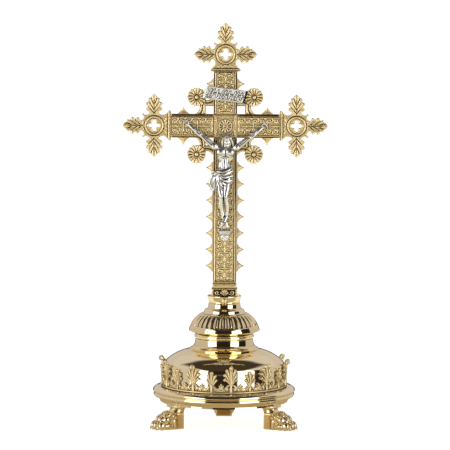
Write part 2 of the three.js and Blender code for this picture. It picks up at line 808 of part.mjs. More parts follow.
const washerTop = plateLevel - seatGap;
const nutTop = washerTop - washer.thickness - seatGap;
const rodBottom = nutTop - nut.height - rod.tail;
const rodTop = shaftLevel + rod.intoShaft;
add(assembly, "tie_rod", post(0, 0, rod.radius, rodBottom, rodTop), brightSteel());
const washerBlank = post(0, 0, washer.radius, washerTop - washer.thickness, washerTop, 20);
const washerBore = post(0, 0, rodHole, washerTop - washer.thickness - 1, washerTop + 1);
add(assembly, "rod_washer", cut(washerBlank, washerBore), brightSteel());
const nutBlank = post(0, 0, nut.radius, nutTop - nut.height, nutTop, 6);
const nutBore = post(0, 0, rodHole, nutTop - nut.height - 1, nutTop + 1);
add(assembly, "rod_nut", cut(nutBlank, nutBore), brightSteel());

add(cross, "cross_body", crossBodyGeometry(), satinGold());
add(cross, "back_plate", backPlateGeometry(), satinGold());
const screwBack = -beamFront + 2 * seatGap + backPlate.depth;
for (const [spot, [x, z]] of Object.entries(backScrewSpots())) {
  const grip = backScrew.grip + seatGap + backPlate.depth;
  add(cross, `back_screw_${spot}`, rearScrew({ ...backScrew, grip }), brightSteel(), [x, screwBack, z]);
}

const beamHalf = beam.width / 2;
const panelEnd = beam.armReach - panel.tipMargin;
const edge = beamHalf + seatGap;
const shaftPanelFoot = panel.bottomMargin - beam.shaftLength;
const tilt = THREE.MathUtils.degToRad(titulus.tilt);
const pinSpots = [-1, 1].map((side) => [
  side * pin.spread * Math.cos(tilt),
  titulus.rise + side * pin.spread * Math.sin(tilt),
]);
const panelHole = (radius) => ([x, z]) => bore(x, z, radius, panelFront - 1, panelBack + 1);
const nailHoles = nailSpots().map(panelHole(nailHole));
const pinHoles = pinSpots.map(panelHole(pinHole));
add(cross, "crossing_panel", panelGeometry(-beamHalf, beamHalf, null), satinGold());
add(cross, "shaft_panel", panelGeometry(shaftPanelFoot, -edge, false, [nailHoles[2]]), satinGold());
add(cross, "top_panel", panelGeometry(edge, panelEnd, false, pinHoles), satinGold());
add(cross, "left_arm_panel", panelGeometry(-panelEnd, -edge, true, [nailHoles[0]]), satinGold());
add(cross, "right_arm_panel", panelGeometry(edge, panelEnd, true, [nailHoles[1]]), satinGold());

const ringDistance = beam.armReach + seatGap + finial.footHeight;
for (const [side, turn] of [["top", 0], ["left", -Math.PI / 2], ["right", Math.PI / 2]]) {
  const place = [ringDistance * Math.sin(turn), 0, ringDistance * Math.cos(turn)];
  add(cross, `${side}_finial`, finialGeometry(), satinGold(), place, [0, turn, 0]);
}

add(cross, "right_crocket_rail", railGeometry(), satinGold(), [edge, 0, 0]);
add(cross, "left_crocket_rail", railGeometry().rotateZ(Math.PI), satinGold(), [-edge, 0, 0]);
for (const [side, sign] of [["left", -1], ["right", 1]]) {
  const sideways = [0, (sign * Math.PI) / 2, 0];
  const out = sign * crocket.armOffset;
  const beside = [sign * edge, 0, crocket.armOffset];
  add(cross, `top_crocket_${side}`, crocketGeometry(), satinGold(), beside, sideways);
  add(cross, `${side}_arm_crocket_upper`, crocketGeometry(), satinGold(), [out, 0, edge]);
  add(cross, `${side}_arm_crocket_lower`, crocketGeometry(), satinGold(), [out, 0, -edge], [Math.PI, 0, 0]);
}

const quarters = ["upper_right", "lower_right", "lower_left", "upper_left"];
quarters.forEach((quarter, i) => {
  add(cross, `rosette_${quarter}`, rosetteGeometry(), satinGold(), [0, 0, 0], [0, (i * Math.PI) / 2, 0]);
});

const titulusPlane = panelFront - titulus.standoff - titulus.thickness - titulus.wave;
add(cross, "titulus", titulusGeometry(), silverPlate(), [0, titulusPlane, titulus.rise], [0, -tilt, 0]);
pinSpots.forEach(([x, z], i) => {
  const seat = titulusPlane - titulus.wave * 0.5 - seatGap;
  const shank = frontScrew({ ...pin, grip: panelBack - seatGap - seat });
  add(cross, `titulus_pin_${["left", "right"][i]}`, shank, silverPlate(), [x, seat, z]);
});

add(cross, "corpus", corpusGeometry(), silverPlate());
nailSpots().forEach(([x, z, stand], i) => {
  const name = `nail_${["left_hand", "right_hand", "feet"][i]}`;
  add(cross, name, nailGeometry(stand), silverPlate(), [x, panelFront - stand, z]);
});
add(cross, "footrest", footrestGeometry(), silverPlate(), [0, panelFront - seatGap, footrest.top]);
const skullLevel = footrest.top - footrest.height - seatGap - skull.height / 2;
add(cross, "skull", skullGeometry(), silverPlate(), [0, panelFront - seatGap, skullLevel]);

// The origin is under the middle of the whole object, on the plane that the feet stand on.
const part = new THREE.Group();
assembly.updateMatrixWorld(true);
const bounds = new THREE.Box3().setFromObject(assembly, true);
assembly.position.set(0, -(bounds.min.y + bounds.max.y) / 2, 0);
part.add(assembly);

export default part;
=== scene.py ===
import math

import bpy
import numpy as np
from mathutils import Matrix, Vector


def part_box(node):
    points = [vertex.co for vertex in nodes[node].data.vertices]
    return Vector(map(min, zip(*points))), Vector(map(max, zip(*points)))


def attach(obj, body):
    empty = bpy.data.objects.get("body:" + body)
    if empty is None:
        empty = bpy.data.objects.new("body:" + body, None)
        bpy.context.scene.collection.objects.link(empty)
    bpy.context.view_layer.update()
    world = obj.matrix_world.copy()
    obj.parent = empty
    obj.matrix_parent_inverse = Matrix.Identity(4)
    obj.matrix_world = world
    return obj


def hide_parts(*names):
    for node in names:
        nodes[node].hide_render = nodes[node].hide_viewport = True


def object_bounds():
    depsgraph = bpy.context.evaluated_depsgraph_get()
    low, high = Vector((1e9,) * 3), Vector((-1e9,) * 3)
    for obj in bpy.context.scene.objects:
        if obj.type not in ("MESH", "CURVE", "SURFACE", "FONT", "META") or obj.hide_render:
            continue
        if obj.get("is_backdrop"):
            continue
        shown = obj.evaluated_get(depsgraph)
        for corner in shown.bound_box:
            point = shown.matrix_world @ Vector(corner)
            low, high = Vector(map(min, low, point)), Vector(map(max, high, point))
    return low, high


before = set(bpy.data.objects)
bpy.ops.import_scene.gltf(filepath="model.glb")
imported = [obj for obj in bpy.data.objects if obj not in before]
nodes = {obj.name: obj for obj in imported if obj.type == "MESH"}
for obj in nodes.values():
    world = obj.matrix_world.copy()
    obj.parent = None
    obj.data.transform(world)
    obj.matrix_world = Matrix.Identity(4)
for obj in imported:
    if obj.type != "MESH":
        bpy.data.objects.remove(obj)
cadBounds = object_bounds()
scene = bpy.context.scene
millimetre = 0.001


def ends(node):
    low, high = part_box(node)
    return np.array(low) / millimetre, np.array(high) / millimetre


def middle(node):
    low, high = ends(node)
    return (low + high) / 2


stemY = middle("neck_spool")[1]  # the axis that the turned pieces and the upright share
crossLevel = middle("crossing_panel")[2]
panelSeat = ends("crossing_panel")[1][1]
panelFace = ends("crossing_panel")[0][1]
beamHalf = (ends("crossing_panel")[1][0] - ends("crossing_panel")[0][0]) / 2

# Materials


def newGroup(name, inputs, outputs):
    group = bpy.data.node_groups.new(name, "ShaderNodeTree")
    for label, kind, value in inputs:
        socket = group.interface.new_socket(name=label, in_out="INPUT", socket_type=kind)
        socket.default_value = value
    for label, kind in outputs:
        group.interface.new_socket(name=label, in_out="OUTPUT", socket_type=kind)
    return group, group.nodes.new("NodeGroupInput"), group.nodes.new("NodeGroupOutput")


def plug(tree, socket, value):
    # A socket takes a link or a plain value.
    if isinstance(value, bpy.types.NodeSocket):
        tree.links.new(value, socket)
    else:
        socket.default_value = value


def addNode(tree, kind, settings=None, **sockets):
    # Sockets go by name, with _ for a space, or by number: n0, n1 and so on.
    node = tree.nodes.new(kind)
    for key, value in (settings or {}).items():
        setattr(node, key, value)
    for key, value in sockets.items():
        numbered = key[0] == "n" and key[1:].isdigit()
        plug(tree, node.inputs[int(key[1:]) if numbered else key.replace("_", " ")], value)
    return node


def math2(tree, operation, a, b=0.0):
    return addNode(tree, "ShaderNodeMath", {"operation": operation}, n0=a, n1=b).outputs[0]


def mapRange(tree, value, low, high, toLow=0.0, toHigh=1.0):
    smooth = {"interpolation_type": "SMOOTHSTEP"}
    return addNode(tree, "ShaderNodeMapRange", smooth, n0=value, n1=low, n2=high, n3=toLow, n4=toHigh).outputs[0]


def blendColour(tree, share, a, b):
    node = addNode(tree, "ShaderNodeMix", {"data_type": "RGBA"})
    for number, value in ((0, share), (6, a), (7, b)):
        plug(tree, node.inputs[number], value)
    return node.outputs[2]


number = "NodeSocketFloat"


def noiseField(group, place, scale, detail, **more):
    return addNode(group, "ShaderNodeTexNoise", None, Vector=place, Scale=scale, Detail=detail, **more).outputs["Fac"]


def patinaAndShadeGroup():
    # Dark oxide left in the hollows of a casting, together with painted shade that pieces add to the sink attribute,
    # broken up by a soft noise.
    inputs = [("Shallow", number, 0.02), ("Deep", number, 0.3), ("Patchiness", number, 0.3), ("Scale", number, 300.0)]
    group, entry, leave = newGroup("castPatinaAndShade", inputs, [("Hollow", number), ("Crest", number)])
    sink = addNode(group, "ShaderNodeAttribute", {"attribute_name": "sink"}).outputs["Fac"]
    place = addNode(group, "ShaderNodeTexCoord").outputs["Object"]
    noise = noiseField(group, place, entry.outputs["Scale"], 4.0)
    shift = math2(group, "MULTIPLY", math2(group, "SUBTRACT", noise, 0.5), entry.outputs["Patchiness"])
    hollow = mapRange(group, math2(group, "ADD", sink, shift), entry.outputs["Shallow"], entry.outputs["Deep"])
    # crest: lighter on raised parts, as edge wear and as a painted highlight
    crest = mapRange(group, math2(group, "MULTIPLY", sink, -1.0), 0.03, 0.22)
    group.links.new(hollow, leave.inputs["Hollow"])
    group.links.new(crest, leave.inputs["Crest"])
    return group


def handlingGroup():
    # Hairline scratches, hand polish and faint smudges: a roughness change and a fine height.
    inputs = [("Grain", number, 900.0), ("Smudge", number, 25.0)]
    group, entry, leave = newGroup("handlingMarks", inputs, [("Rub", number), ("Height", number)])
    place = addNode(group, "ShaderNodeTexCoord").outputs["Object"]
    grain = noiseField(group, place, entry.outputs["Grain"], 3.0, Roughness=0.65)
    smudge = noiseField(group, place, entry.outputs["Smudge"], 2.0)
    stretch = addNode(group, "ShaderNodeMapping", None, Vector=place, Rotation=(0.4, 0.9, 0.3),
        Scale=(60.0, 60.0, 2400.0)).outputs[0]
    hairs = noiseField(group, stretch, 1.0, 2.0)
    lines = mapRange(group, hairs, 0.62, 0.72)
    rub = math2(group, "ADD", math2(group, "MULTIPLY", smudge, 0.7), math2(group, "MULTIPLY", lines, 0.3))
    height = math2(group, "SUBTRACT", grain, math2(group, "MULTIPLY", lines, 0.4))
    group.links.new(rub, leave.inputs["Rub"])
    group.links.new(height, leave.inputs["Height"])
    return group


castPatinaAndShade = patinaAndShadeGroup()
handlingMarks = handlingGroup()

finishes = {
    "polishedBrass": {
        "colour": (0.92, 0.80, 0.55), "second": (0.90, 0.75, 0.46), "hollow": (0.52, 0.29, 0.05),
        "crest": (0.97, 0.88, 0.66),
        "roughness": 0.045, "rub": 0.05, "hollowRoughness": 0.15, "shallow": 0.10, "deep": 0.5, "patchiness": 0.05,
        "grain": 700.0, "bump": 0.012, "variety": 0.35, "outline": (0.80, 0.97, 0.35),
    },
    "castBrass": {
        # the hollow colour also paints the paws' flat heel faces, a painted reflection of brass in brass
        "colour": (0.93, 0.81, 0.54), "second": (0.90, 0.75, 0.44), "hollow": (0.44, 0.24, 0.04),
        "crest": (0.98, 0.90, 0.68),
        "roughness": 0.20, "rub": 0.06, "hollowRoughness": 0.1, "shallow": 0.10, "deep": 0.6, "patchiness": 0.03,
        "grain": 900.0, "bump": 0.01, "variety": 0.35, "outline": (0.70, 0.95, 0.5),
    },
    "satinGold": {
        "colour": (0.87, 0.70, 0.39), "second": (0.80, 0.61, 0.31), "hollow": (0.075, 0.044, 0.014),
        "crest": (0.95, 0.82, 0.55),
        "roughness": 0.44, "rub": 0.10, "hollowRoughness": 0.1, "shallow": 0.08, "deep": 0.46, "patchiness": 0.07,
        "grain": 1500.0, "bump": 0.06, "variety": 0.6, "outline": (0.45, 0.88, 0.75),
    },
    "silverPlate": {
        "colour": (0.73, 0.75, 0.80), "second": (0.63, 0.65, 0.70), "hollow": (0.02, 0.018, 0.016),
        "crest": (0.88, 0.90, 0.95),
        "roughness": 0.26, "rub": 0.06, "hollowRoughness": 0.3, "shallow": 0.03, "deep": 0.26, "patchiness": 0.04,
        "grain": 1300.0, "bump": 0.02, "variety": 0.5, "outline": (0.34, 0.74, 0.97),
    },
    "softSilver": {
        "colour": (0.89, 0.91, 0.96), "second": (0.80, 0.82, 0.87), "hollow": (0.03, 0.028, 0.028),
        "crest": (0.95, 0.97, 1.0),
        "roughness": 0.48, "rub": 0.08, "hollowRoughness": 0.1, "shallow": 0.14, "deep": 0.36, "patchiness": 0.03,
        "grain": 1300.0, "bump": 0.03, "variety": 0.5, "outline": (0.60, 0.92, 0.85),
    },
    "brightSteel": {
        "colour": (0.62, 0.62, 0.63), "second": (0.52, 0.52, 0.54), "hollow": (0.10, 0.09, 0.08),
        "crest": (0.75, 0.75, 0.76),
        "roughness": 0.24, "rub": 0.15, "hollowRoughness": 0.2, "shallow": 0.05, "deep": 0.3, "patchiness": 0.1,
        "grain": 1600.0, "bump": 0.06, "variety": 0.5, "outline": (0.70, 0.95, 0.5),
    },
}


def makeMetal(name, look):
    material = bpy.data.materials.new(name)
    material.use_nodes = True
    tree = material.node_tree
    shader = tree.nodes["Principled BSDF"]
    shader.inputs["Metallic"].default_value = 1.0
    patinaShadeNode = addNode(tree, "ShaderNodeGroup", {"node_tree": castPatinaAndShade}, Shallow=look["shallow"], Deep=look["deep"],
        Patchiness=look["patchiness"])
    marks = addNode(tree, "ShaderNodeGroup", {"node_tree": handlingMarks}, Grain=look["grain"])
    opaque = lambda colour: (*colour, 1.0)
    tone = math2(tree, "MULTIPLY", marks.outputs["Rub"], look["variety"])
    body = blendColour(tree, tone, opaque(look["colour"]), opaque(look["second"]))
    # raised parts take the crest colour: edge wear and a painted highlight
    wornAndHighlighted = blendColour(tree, patinaShadeNode.outputs["Crest"], body, opaque(look["crest"]))
    # hollow colour: patina, and painted shade where a piece adds darkening to its sink
    agedAndShaded = blendColour(tree, patinaShadeNode.outputs["Hollow"], wornAndHighlighted, opaque(look["hollow"]))
    fromStart, fromStop, darkest = look["outline"]  # painted shade: the colour darkens where the surface is seen edge-on, towards its outline
    facing = addNode(tree, "ShaderNodeLayerWeight", None, Blend=0.5).outputs["Facing"]
    grazingShade = mapRange(tree, facing, fromStart, fromStop, 0.0, darkest)
    grazingShaded = blendColour(tree, grazingShade, agedAndShaded, opaque(tuple(0.5 * k for k in look["hollow"])))
    tree.links.new(grazingShaded, shader.inputs["Base Color"])
    rubbed = math2(tree, "MULTIPLY", marks.outputs["Rub"], look["rub"])
    dulled = math2(tree, "MULTIPLY", patinaShadeNode.outputs["Hollow"], look["hollowRoughness"])
    roughness = math2(tree, "ADD", math2(tree, "ADD", rubbed, look["roughness"]), dulled)
    tree.links.new(roughness, shader.inputs["Roughness"])
    bump = addNode(tree, "ShaderNodeBump", None, Strength=look["bump"], Distance=0.0002, Height=marks.outputs["Height"])
    tree.links.new(bump.outputs[0], shader.inputs["Normal"])
    return material


metals = {name: makeMetal(name, look) for name, look in finishes.items()}
print("materials:", ", ".join(metals))

# Mesh makers


def nearMean(values, one, other, count):
    # Mean over the neighbours of each point.
    return (np.bincount(one, values[other], len(values)) + np.bincount(other, values[one], len(values))) / count


def sinkDepth(mesh, points, passes):
    # How far each point lies under the smoothed surface around it, in millimetres.
    edges = np.empty(len(mesh.edges) * 2, np.int32)
    mesh.edges.foreach_get("vertices", edges)
    one, other = edges.reshape(-1, 2).T
    total = len(points)
    count = np.maximum(np.bincount(edges, minlength=total), 1)
    normals = np.empty(total * 3, np.float32)
    mesh.vertices.foreach_get("normal", normals)
    normals = normals.reshape(-1, 3)
    smooth = points.astype(float)
    depth = np.zeros(total)
    for turn in range(passes):
        for axis in range(3):
            column = smooth[:, axis]
            smooth[:, axis] = 0.4 * column + 0.6 * nearMean(column, one, other, count)
        if turn in (5, passes - 1):
            depth += ((smooth - points) * normals).sum(1)
    return depth


def makeMesh(name, points, faces, sharpness=55, passes=24, paintedShadeAndPatina=None):
    mesh = bpy.data.meshes.new(name)
    points = np.asarray(points, float)
    rows = [row for block in faces for row in np.asarray(block).tolist()]
    mesh.from_pydata((points * millimetre).tolist(), [], rows)
    mesh.update()
    first = np.array([row[:3] for row in rows])
    a, b, c = points[first[:, 0]], points[first[:, 1]], points[first[:, 2]]
    if np.einsum("ij,ij->i", a - points.mean(0), np.cross(b - a, c - a)).sum() < 0:
        mesh.flip_normals()
    mesh.polygons.foreach_set("use_smooth", np.ones(len(rows), bool))
    mesh.set_sharp_from_angle(angle=math.radians(sharpness))
    sink = mesh.attributes.new("sink", "FLOAT", "POINT")
    # sink: depth under the smoothed surface plus each piece's own darkening, painted shade at edges and joints as well
    # as patina
    depth = sinkDepth(mesh, points, passes) + (0 if paintedShadeAndPatina is None else paintedShadeAndPatina)
    sink.data.foreach_set("value", depth.astype(np.float32))
    return mesh


def placed(x, y, z, turn, axis):
    # A seat for a piece: turned about an axis of its own, then carried to a place in millimetres.
    return Matrix.Translation([value * millimetre for value in (x, y, z)]) @ Matrix.Rotation(math.radians(turn), 4,
        axis)


def addPiece(name, mesh, metal, stands, place=None):
    piece = bpy.data.objects.new(name, mesh)
    scene.collection.objects.link(piece)
    if not mesh.materials:
        mesh.materials.append(metals[metal])
    if place is not None:
        piece.matrix_world = place
    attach(piece, "root")
    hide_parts(*stands)
    return piece


def smoothLine(points, step):
    # A Catmull-Rom curve through the points.
    points = np.asarray(points, float)
    if len(points) == 2:
        count = max(2, int(np.ceil(np.linalg.norm(points[1] - points[0]) / step)) + 1)
        return points[0] + (points[1] - points[0]) * np.linspace(0, 1, count)[:, None]
    padded = np.vstack([2 * points[0] - points[1], points, 2 * points[-1] - points[-2]])
    out = []
    for i in range(len(points) - 1):
        p0, p1, p2, p3 = padded[i : i + 4]
        count = max(2, int(np.ceil(np.linalg.norm(p2 - p1) / step)))
        t = np.linspace(0, 1, count, endpoint=False)[:, None]
        out.append(0.5 * (2 * p1 + (p2 - p0) * t + (2 * p0 - 5 * p1 + 4 * p2 - p3) * t**2
            + (3 * p1 - p0 - 3 * p2 + p3) * t**3))
    return np.vstack(out + [points[-1:]])


def closedProfile(curves, step=0.9, corner=0.45):
    # Curves joined end to end into a loop, each corner between two of them rounded a little.
    lines = [smoothLine(curve, step) for curve in curves]
    direction = lambda a, b: (b - a) / max(np.linalg.norm(b - a), 1e-9)
    out = []
    for i, line in enumerate(lines):
        after = lines[(i + 1) % len(lines)]
        gap = np.linalg.norm(line - line[0], axis=1)
        back = np.linalg.norm(line - line[-1], axis=1)
        reach = min(corner, 0.4 * np.linalg.norm(line[-1] - line[0]) + 1e-6)
        body = line[(gap > reach * 1.2) & (back > reach * 1.2)]
        entry = line[0] + direction(line[0], line[1]) * reach
        leave = line[-1] + direction(line[-1], line[-2]) * reach
        reachAfter = min(corner, 0.4 * np.linalg.norm(after[-1] - after[0]) + 1e-6)
        following = after[0] + direction(after[0], after[1]) * reachAfter
        out.append(np.vstack([entry[None], body, leave[None]]))
        t = np.linspace(0, 1, 5)[1:-1, None]
        out.append((1 - t) ** 2 * leave + 2 * t * (1 - t) * line[-1] + t**2 * following)
    return np.vstack(out)


def turnedMesh(name, profile, level, count=224, swell=None, sharpness=55, passes=24):
    turn = np.linspace(0, 2 * math.pi, count, endpoint=False)[:, None]
    radius, height = profile[None, :, 0], profile[None, :, 1]
    if swell:
        radius, height = swell(turn, radius, height)
    points = np.stack([radius * np.sin(turn), stemY - radius * np.cos(turn), level + height + 0 * turn],
        -1).reshape(-1, 3)
    rows = profile.shape[0]
    i, j = np.meshgrid(np.arange(count), np.arange(rows), indexing="ij")
    corner = lambda a, b: ((i + a) % count * rows + (j + b) % rows).ravel()
    return makeMesh(name, points, [np.stack([corner(0, 0), corner(1, 0), corner(1, 1), corner(0, 1)], 1)], sharpness,
        passes)


def insideOf(polygon):
    # Signed distance to a closed outline, positive inside.
    ring = np.asarray(polygon, float)
    starts, stops = ring, np.roll(ring, -1, axis=0)

    def distance(u, v):
        best = np.full(np.shape(u), 1e9)
        inside = np.zeros(np.shape(u), bool)
        for (ax, ay), (bx, by) in zip(starts, stops):
            dx, dy = bx - ax, by - ay
            length = dx * dx + dy * dy
            if length < 1e-12:
                continue
            t = np.clip(((u - ax) * dx + (v - ay) * dy) / length, 0, 1)
            best = np.minimum(best, (u - ax - t * dx) ** 2 + (v - ay - t * dy) ** 2)
            if ay != by:
                crossing = ((ay > v) != (by > v)) & (u < (v - ay) * dx / dy + ax)
                inside ^= crossing
        best = np.sqrt(best)
        return np.where(inside, best, -best)

    return distance


def ridge(u, v, line, wide, high, flat=1.0):
    # Height of a rounded ridge along a line, and the distance left to its edge; width and height may run
    # from start to end.
    line = np.asarray(line, float)
    wide = np.broadcast_to(wide, 2)
    high = np.broadcast_to(high, 2)
    out = np.zeros(np.shape(u))
    edge = np.full(np.shape(u), -1e3)
    reach = max(wide) + 3
    near = (u > line[:, 0].min() - reach) & (u < line[:, 0].max() + reach) & (v > line[:,
        1].min() - reach) & (v < line[:, 1].max() + reach)
    if not near.any():
        return out, edge
    un, vn = u[near], v[near]
    span = np.r_[0, np.cumsum(np.linalg.norm(np.diff(line, axis=0), axis=1))]
    span = span / max(span[-1], 1e-9)
    bestHeight, bestEdge = np.zeros(len(un)), np.full(len(un), -1e3)
    for i in range(len(line) - 1):
        (ax, ay), (bx, by) = line[i], line[i + 1]
        dx, dy = bx - ax, by - ay
        t = np.clip(((un - ax) * dx + (vn - ay) * dy) / max(dx * dx + dy * dy, 1e-12), 0, 1)
        share = span[i] + t * (span[i + 1] - span[i])
        w = wide[0] + (wide[1] - wide[0]) * share
        h = high[0] + (high[1] - high[0]) * share
        away = np.hypot(un - ax - t * dx, vn - ay - t * dy)
        bestEdge = np.maximum(bestEdge, w - away)
        bestHeight = np.maximum(bestHeight, h * np.sqrt(np.clip(1 - (away / w) ** 2, 0, 1)) ** flat)
    out[near], edge[near] = bestHeight, bestEdge
    return out, edge


def ridges(u, v, strokes):
    height = np.zeros(np.shape(u))
    for line, wide, high in strokes:
        height = np.maximum(height, ridge(u, v, line, wide, high)[0])
    return height


def curl(centre, start, stop, fromAngle, turns, points=22):
    # A spiral that closes from one radius to another.
    share = np.linspace(0, 1, points)
    angle = math.radians(fromAngle) + 2 * math.pi * turns * share
    radius = start + (stop - start) * share**0.8
    return np.stack([centre[0] + radius * np.cos(angle), centre[1] + radius * np.sin(angle)], 1)


def rounded(distance, edge, drop):
    # Falls away by drop over the last edge millimetres before an outline.
    share = np.clip(distance / edge, 0, 1)
    return -drop * (1 - np.sqrt(1 - (1 - share) ** 2))


def flatBack(u, v, d):
    return 0 * u


def reliefSheet(shape, front, back, low, high, step, wrap=False):
    # A closed plate: a grid cut along the outline of shape, lifted to front(u, v, d) and back(u, v, d).
    columns = int(round((high[0] - low[0]) / step))
    rows = int(round((high[1] - low[1]) / step))
    us = low[0] + (high[0] - low[0]) * np.arange(columns + (0 if wrap else 1)) / columns
    vs = low[1] + (high[1] - low[1]) * np.arange(rows + 1) / rows
    u, v = np.meshgrid(us, vs, indexing="ij")
    solid = shape(u, v) > 0.3 * step
    wide = len(us)
    i, j = np.meshgrid(np.arange(wide if wrap else wide - 1), np.arange(rows), indexing="ij")
    corner = lambda a, b: ((i + a) % wide) * (rows + 1) + j + b
    quads = np.stack([corner(0, 0), corner(1, 0), corner(1, 1), corner(0, 1)], -1).reshape(-1, 4)
    quads = quads[solid.ravel()[quads].any(1)]
    used, flat = np.unique(quads, return_inverse=True)
    quads = flat.reshape(-1, 4)
    u, v, rim = u.ravel()[used], v.ravel()[used], ~solid.ravel()[used]
    ur, vr = u[rim], v[rim]
    small = 0.05
    for _ in range(4):  # outer points slide onto the outline
        d = shape(ur, vr)
        gu = (shape(ur + small, vr) - shape(ur - small, vr)) / (2 * small)
        gv = (shape(ur, vr + small) - shape(ur, vr - small)) / (2 * small)
        steepness = np.maximum(gu * gu + gv * gv, 0.3)
        move = np.clip(d / steepness, -step, step)
        ur, vr = ur - move * gu, vr - move * gv
    u[rim], v[rim] = ur, vr
    distance = np.maximum(shape(u, v), 0)
    distance[rim] = 0
    top = np.stack([u, v, front(u, v, distance)], 1)
    under = np.stack([u, v, back(u, v, distance) + 0 * u], 1)
    count = len(u)
    edges = np.concatenate([quads[:, [k, (k + 1) % 4]] for k in range(4)])
    forward = edges[:, 0] * count + edges[:, 1]
    outer = edges[~np.isin(forward, edges[:, 1] * count + edges[:, 0])]
    walls = np.stack([outer[:, 1], outer[:, 0], outer[:, 0] + count, outer[:, 1] + count], 1)
    return np.vstack([top, under]), [quads, quads[:, ::-1] + count, walls]


def cappedRings(rows, around):
    # Faces over rings of points, closed by a point under the first ring and one over the last.
    i, j = np.meshgrid(np.arange(rows - 1), np.arange(around), indexing="ij")
    after = (j + 1) % around
    quads = np.stack([i * around + j, i * around + after, (i + 1) * around + after, (i + 1) * around + j],
        -1).reshape(-1, 4)
    k = np.arange(around)
    first = np.stack([np.full(around, around * rows), (k + 1) % around, k], 1)
    last = np.stack([np.full(around, around * rows + 1), (rows - 1) * around + k,
        (rows - 1) * around + (k + 1) % around], 1)
    return [quads, first, last]


def joinShells(shells):
    points, faces, shift = [], [], 0
    for shellPoints, shellFaces in shells:
        points.append(shellPoints)
        faces += [np.asarray(block) + shift for block in shellFaces]
        shift += len(shellPoints)
    return np.vstack(points), faces


# Clay: solids kept as distances on a grid, blended, carved and then skinned


def newClay(low, high, step):
    low = np.array(low, float)
    shape = np.ceil((np.array(high) - low) / step).astype(int) + 1
    return {"low": low, "step": step, "field": np.full(shape, 4.0, np.float32)}


def within(clay, low, high):
    first = np.maximum(np.floor((np.array(low) - clay["low"]) / clay["step"]).astype(int), 0)
    last = np.minimum(np.ceil((np.array(high) - clay["low"]) / clay["step"]).astype(int) + 1, clay["field"].shape)
    window = tuple(slice(a, b) for a, b in zip(first, last))
    axes = [clay["low"][k] + clay["step"] * np.arange(first[k], last[k]) for k in range(3)]
    return window, np.meshgrid(*axes, indexing="ij")


def press(clay, distance, low, high, soft=0.8):
    # Adds a form, melting it into what is there over soft millimetres.
    pad = soft + 3 * clay["step"]
    window, (x, y, z) = within(clay, np.array(low) - pad, np.array(high) + pad)
    if min(x.shape) < 2:
        return
    there, new = clay["field"][window], distance(x, y, z)
    share = np.clip(0.5 + 0.5 * (new - there) / soft, 0, 1)
    clay["field"][window] = new + (there - new) * share - soft * share * (1 - share)


def carve(clay, distance, low, high, soft=0.4):
    pad = soft + 2 * clay["step"]
    window, (x, y, z) = within(clay, np.array(low) - pad, np.array(high) + pad)
    if min(x.shape) < 2:
        return
    there, hole = clay["field"][window], -distance(x, y, z)
    share = np.clip(0.5 - 0.5 * (hole - there) / soft, 0, 1)
    clay["field"][window] = hole + (there - hole) * share + soft * share * (1 - share)


def ballForm(centre, radii, turn=None):
    centre, radii = np.array(centre, float), np.broadcast_to(np.array(radii, float), 3)
    axes = np.array(turn) if turn is not None else np.eye(3)

    def distance(x, y, z):
        local = np.stack([x - centre[0], y - centre[1], z - centre[2]], -1) @ axes
        scaled = np.sqrt(((local / radii) ** 2).sum(-1))
        slope = np.sqrt(((local / radii**2) ** 2).sum(-1))
        return scaled * (scaled - 1) / np.maximum(slope, 1e-3)

    reach = max(radii)
    return distance, centre - reach, centre + reach


def cordForm(points, radii, flat=1.0):
    # A tapering round bar along a line; flat squeezes it from front to back.
    points = np.asarray(points, float)
    radii = np.interp(np.linspace(0, 1, len(points)), np.linspace(0, 1, len(np.atleast_1d(radii))),
        np.atleast_1d(radii))

    def distance(x, y, z):
        best = np.full(x.shape, 1e3)
        for a, b, ra, rb in zip(points[:-1], points[1:], radii[:-1], radii[1:]):
            d = b - a
            t = np.clip(((x - a[0]) * d[0] + (y - a[1]) * d[1] + (z - a[2]) * d[2]) / max(d @ d, 1e-9), 0, 1)
            away = np.sqrt((x - a[0] - t * d[0]) ** 2 + ((y - a[1] - t * d[1]) / flat) ** 2
                + (z - a[2] - t * d[2]) ** 2)
            best = np.minimum(best, (away - (ra + t * (rb - ra))) * min(1.0, flat))
        return best

    reach = max(radii)
    return distance, points.min(0) - reach, points.max(0) + reach


def blockForm(low, high, edge=1.0):
    low, high = np.array(low, float), np.array(high, float)
    centre, half = (low + high) / 2, (high - low) / 2 - edge

    def distance(x, y, z):
        away = np.stack([np.abs(x - centre[0]) - half[0], np.abs(y - centre[1]) - half[1],
            np.abs(z - centre[2]) - half[2]], -1)
        return np.linalg.norm(np.maximum(away, 0), axis=-1) + np.minimum(away.max(-1), 0) - edge

    return distance, low, high


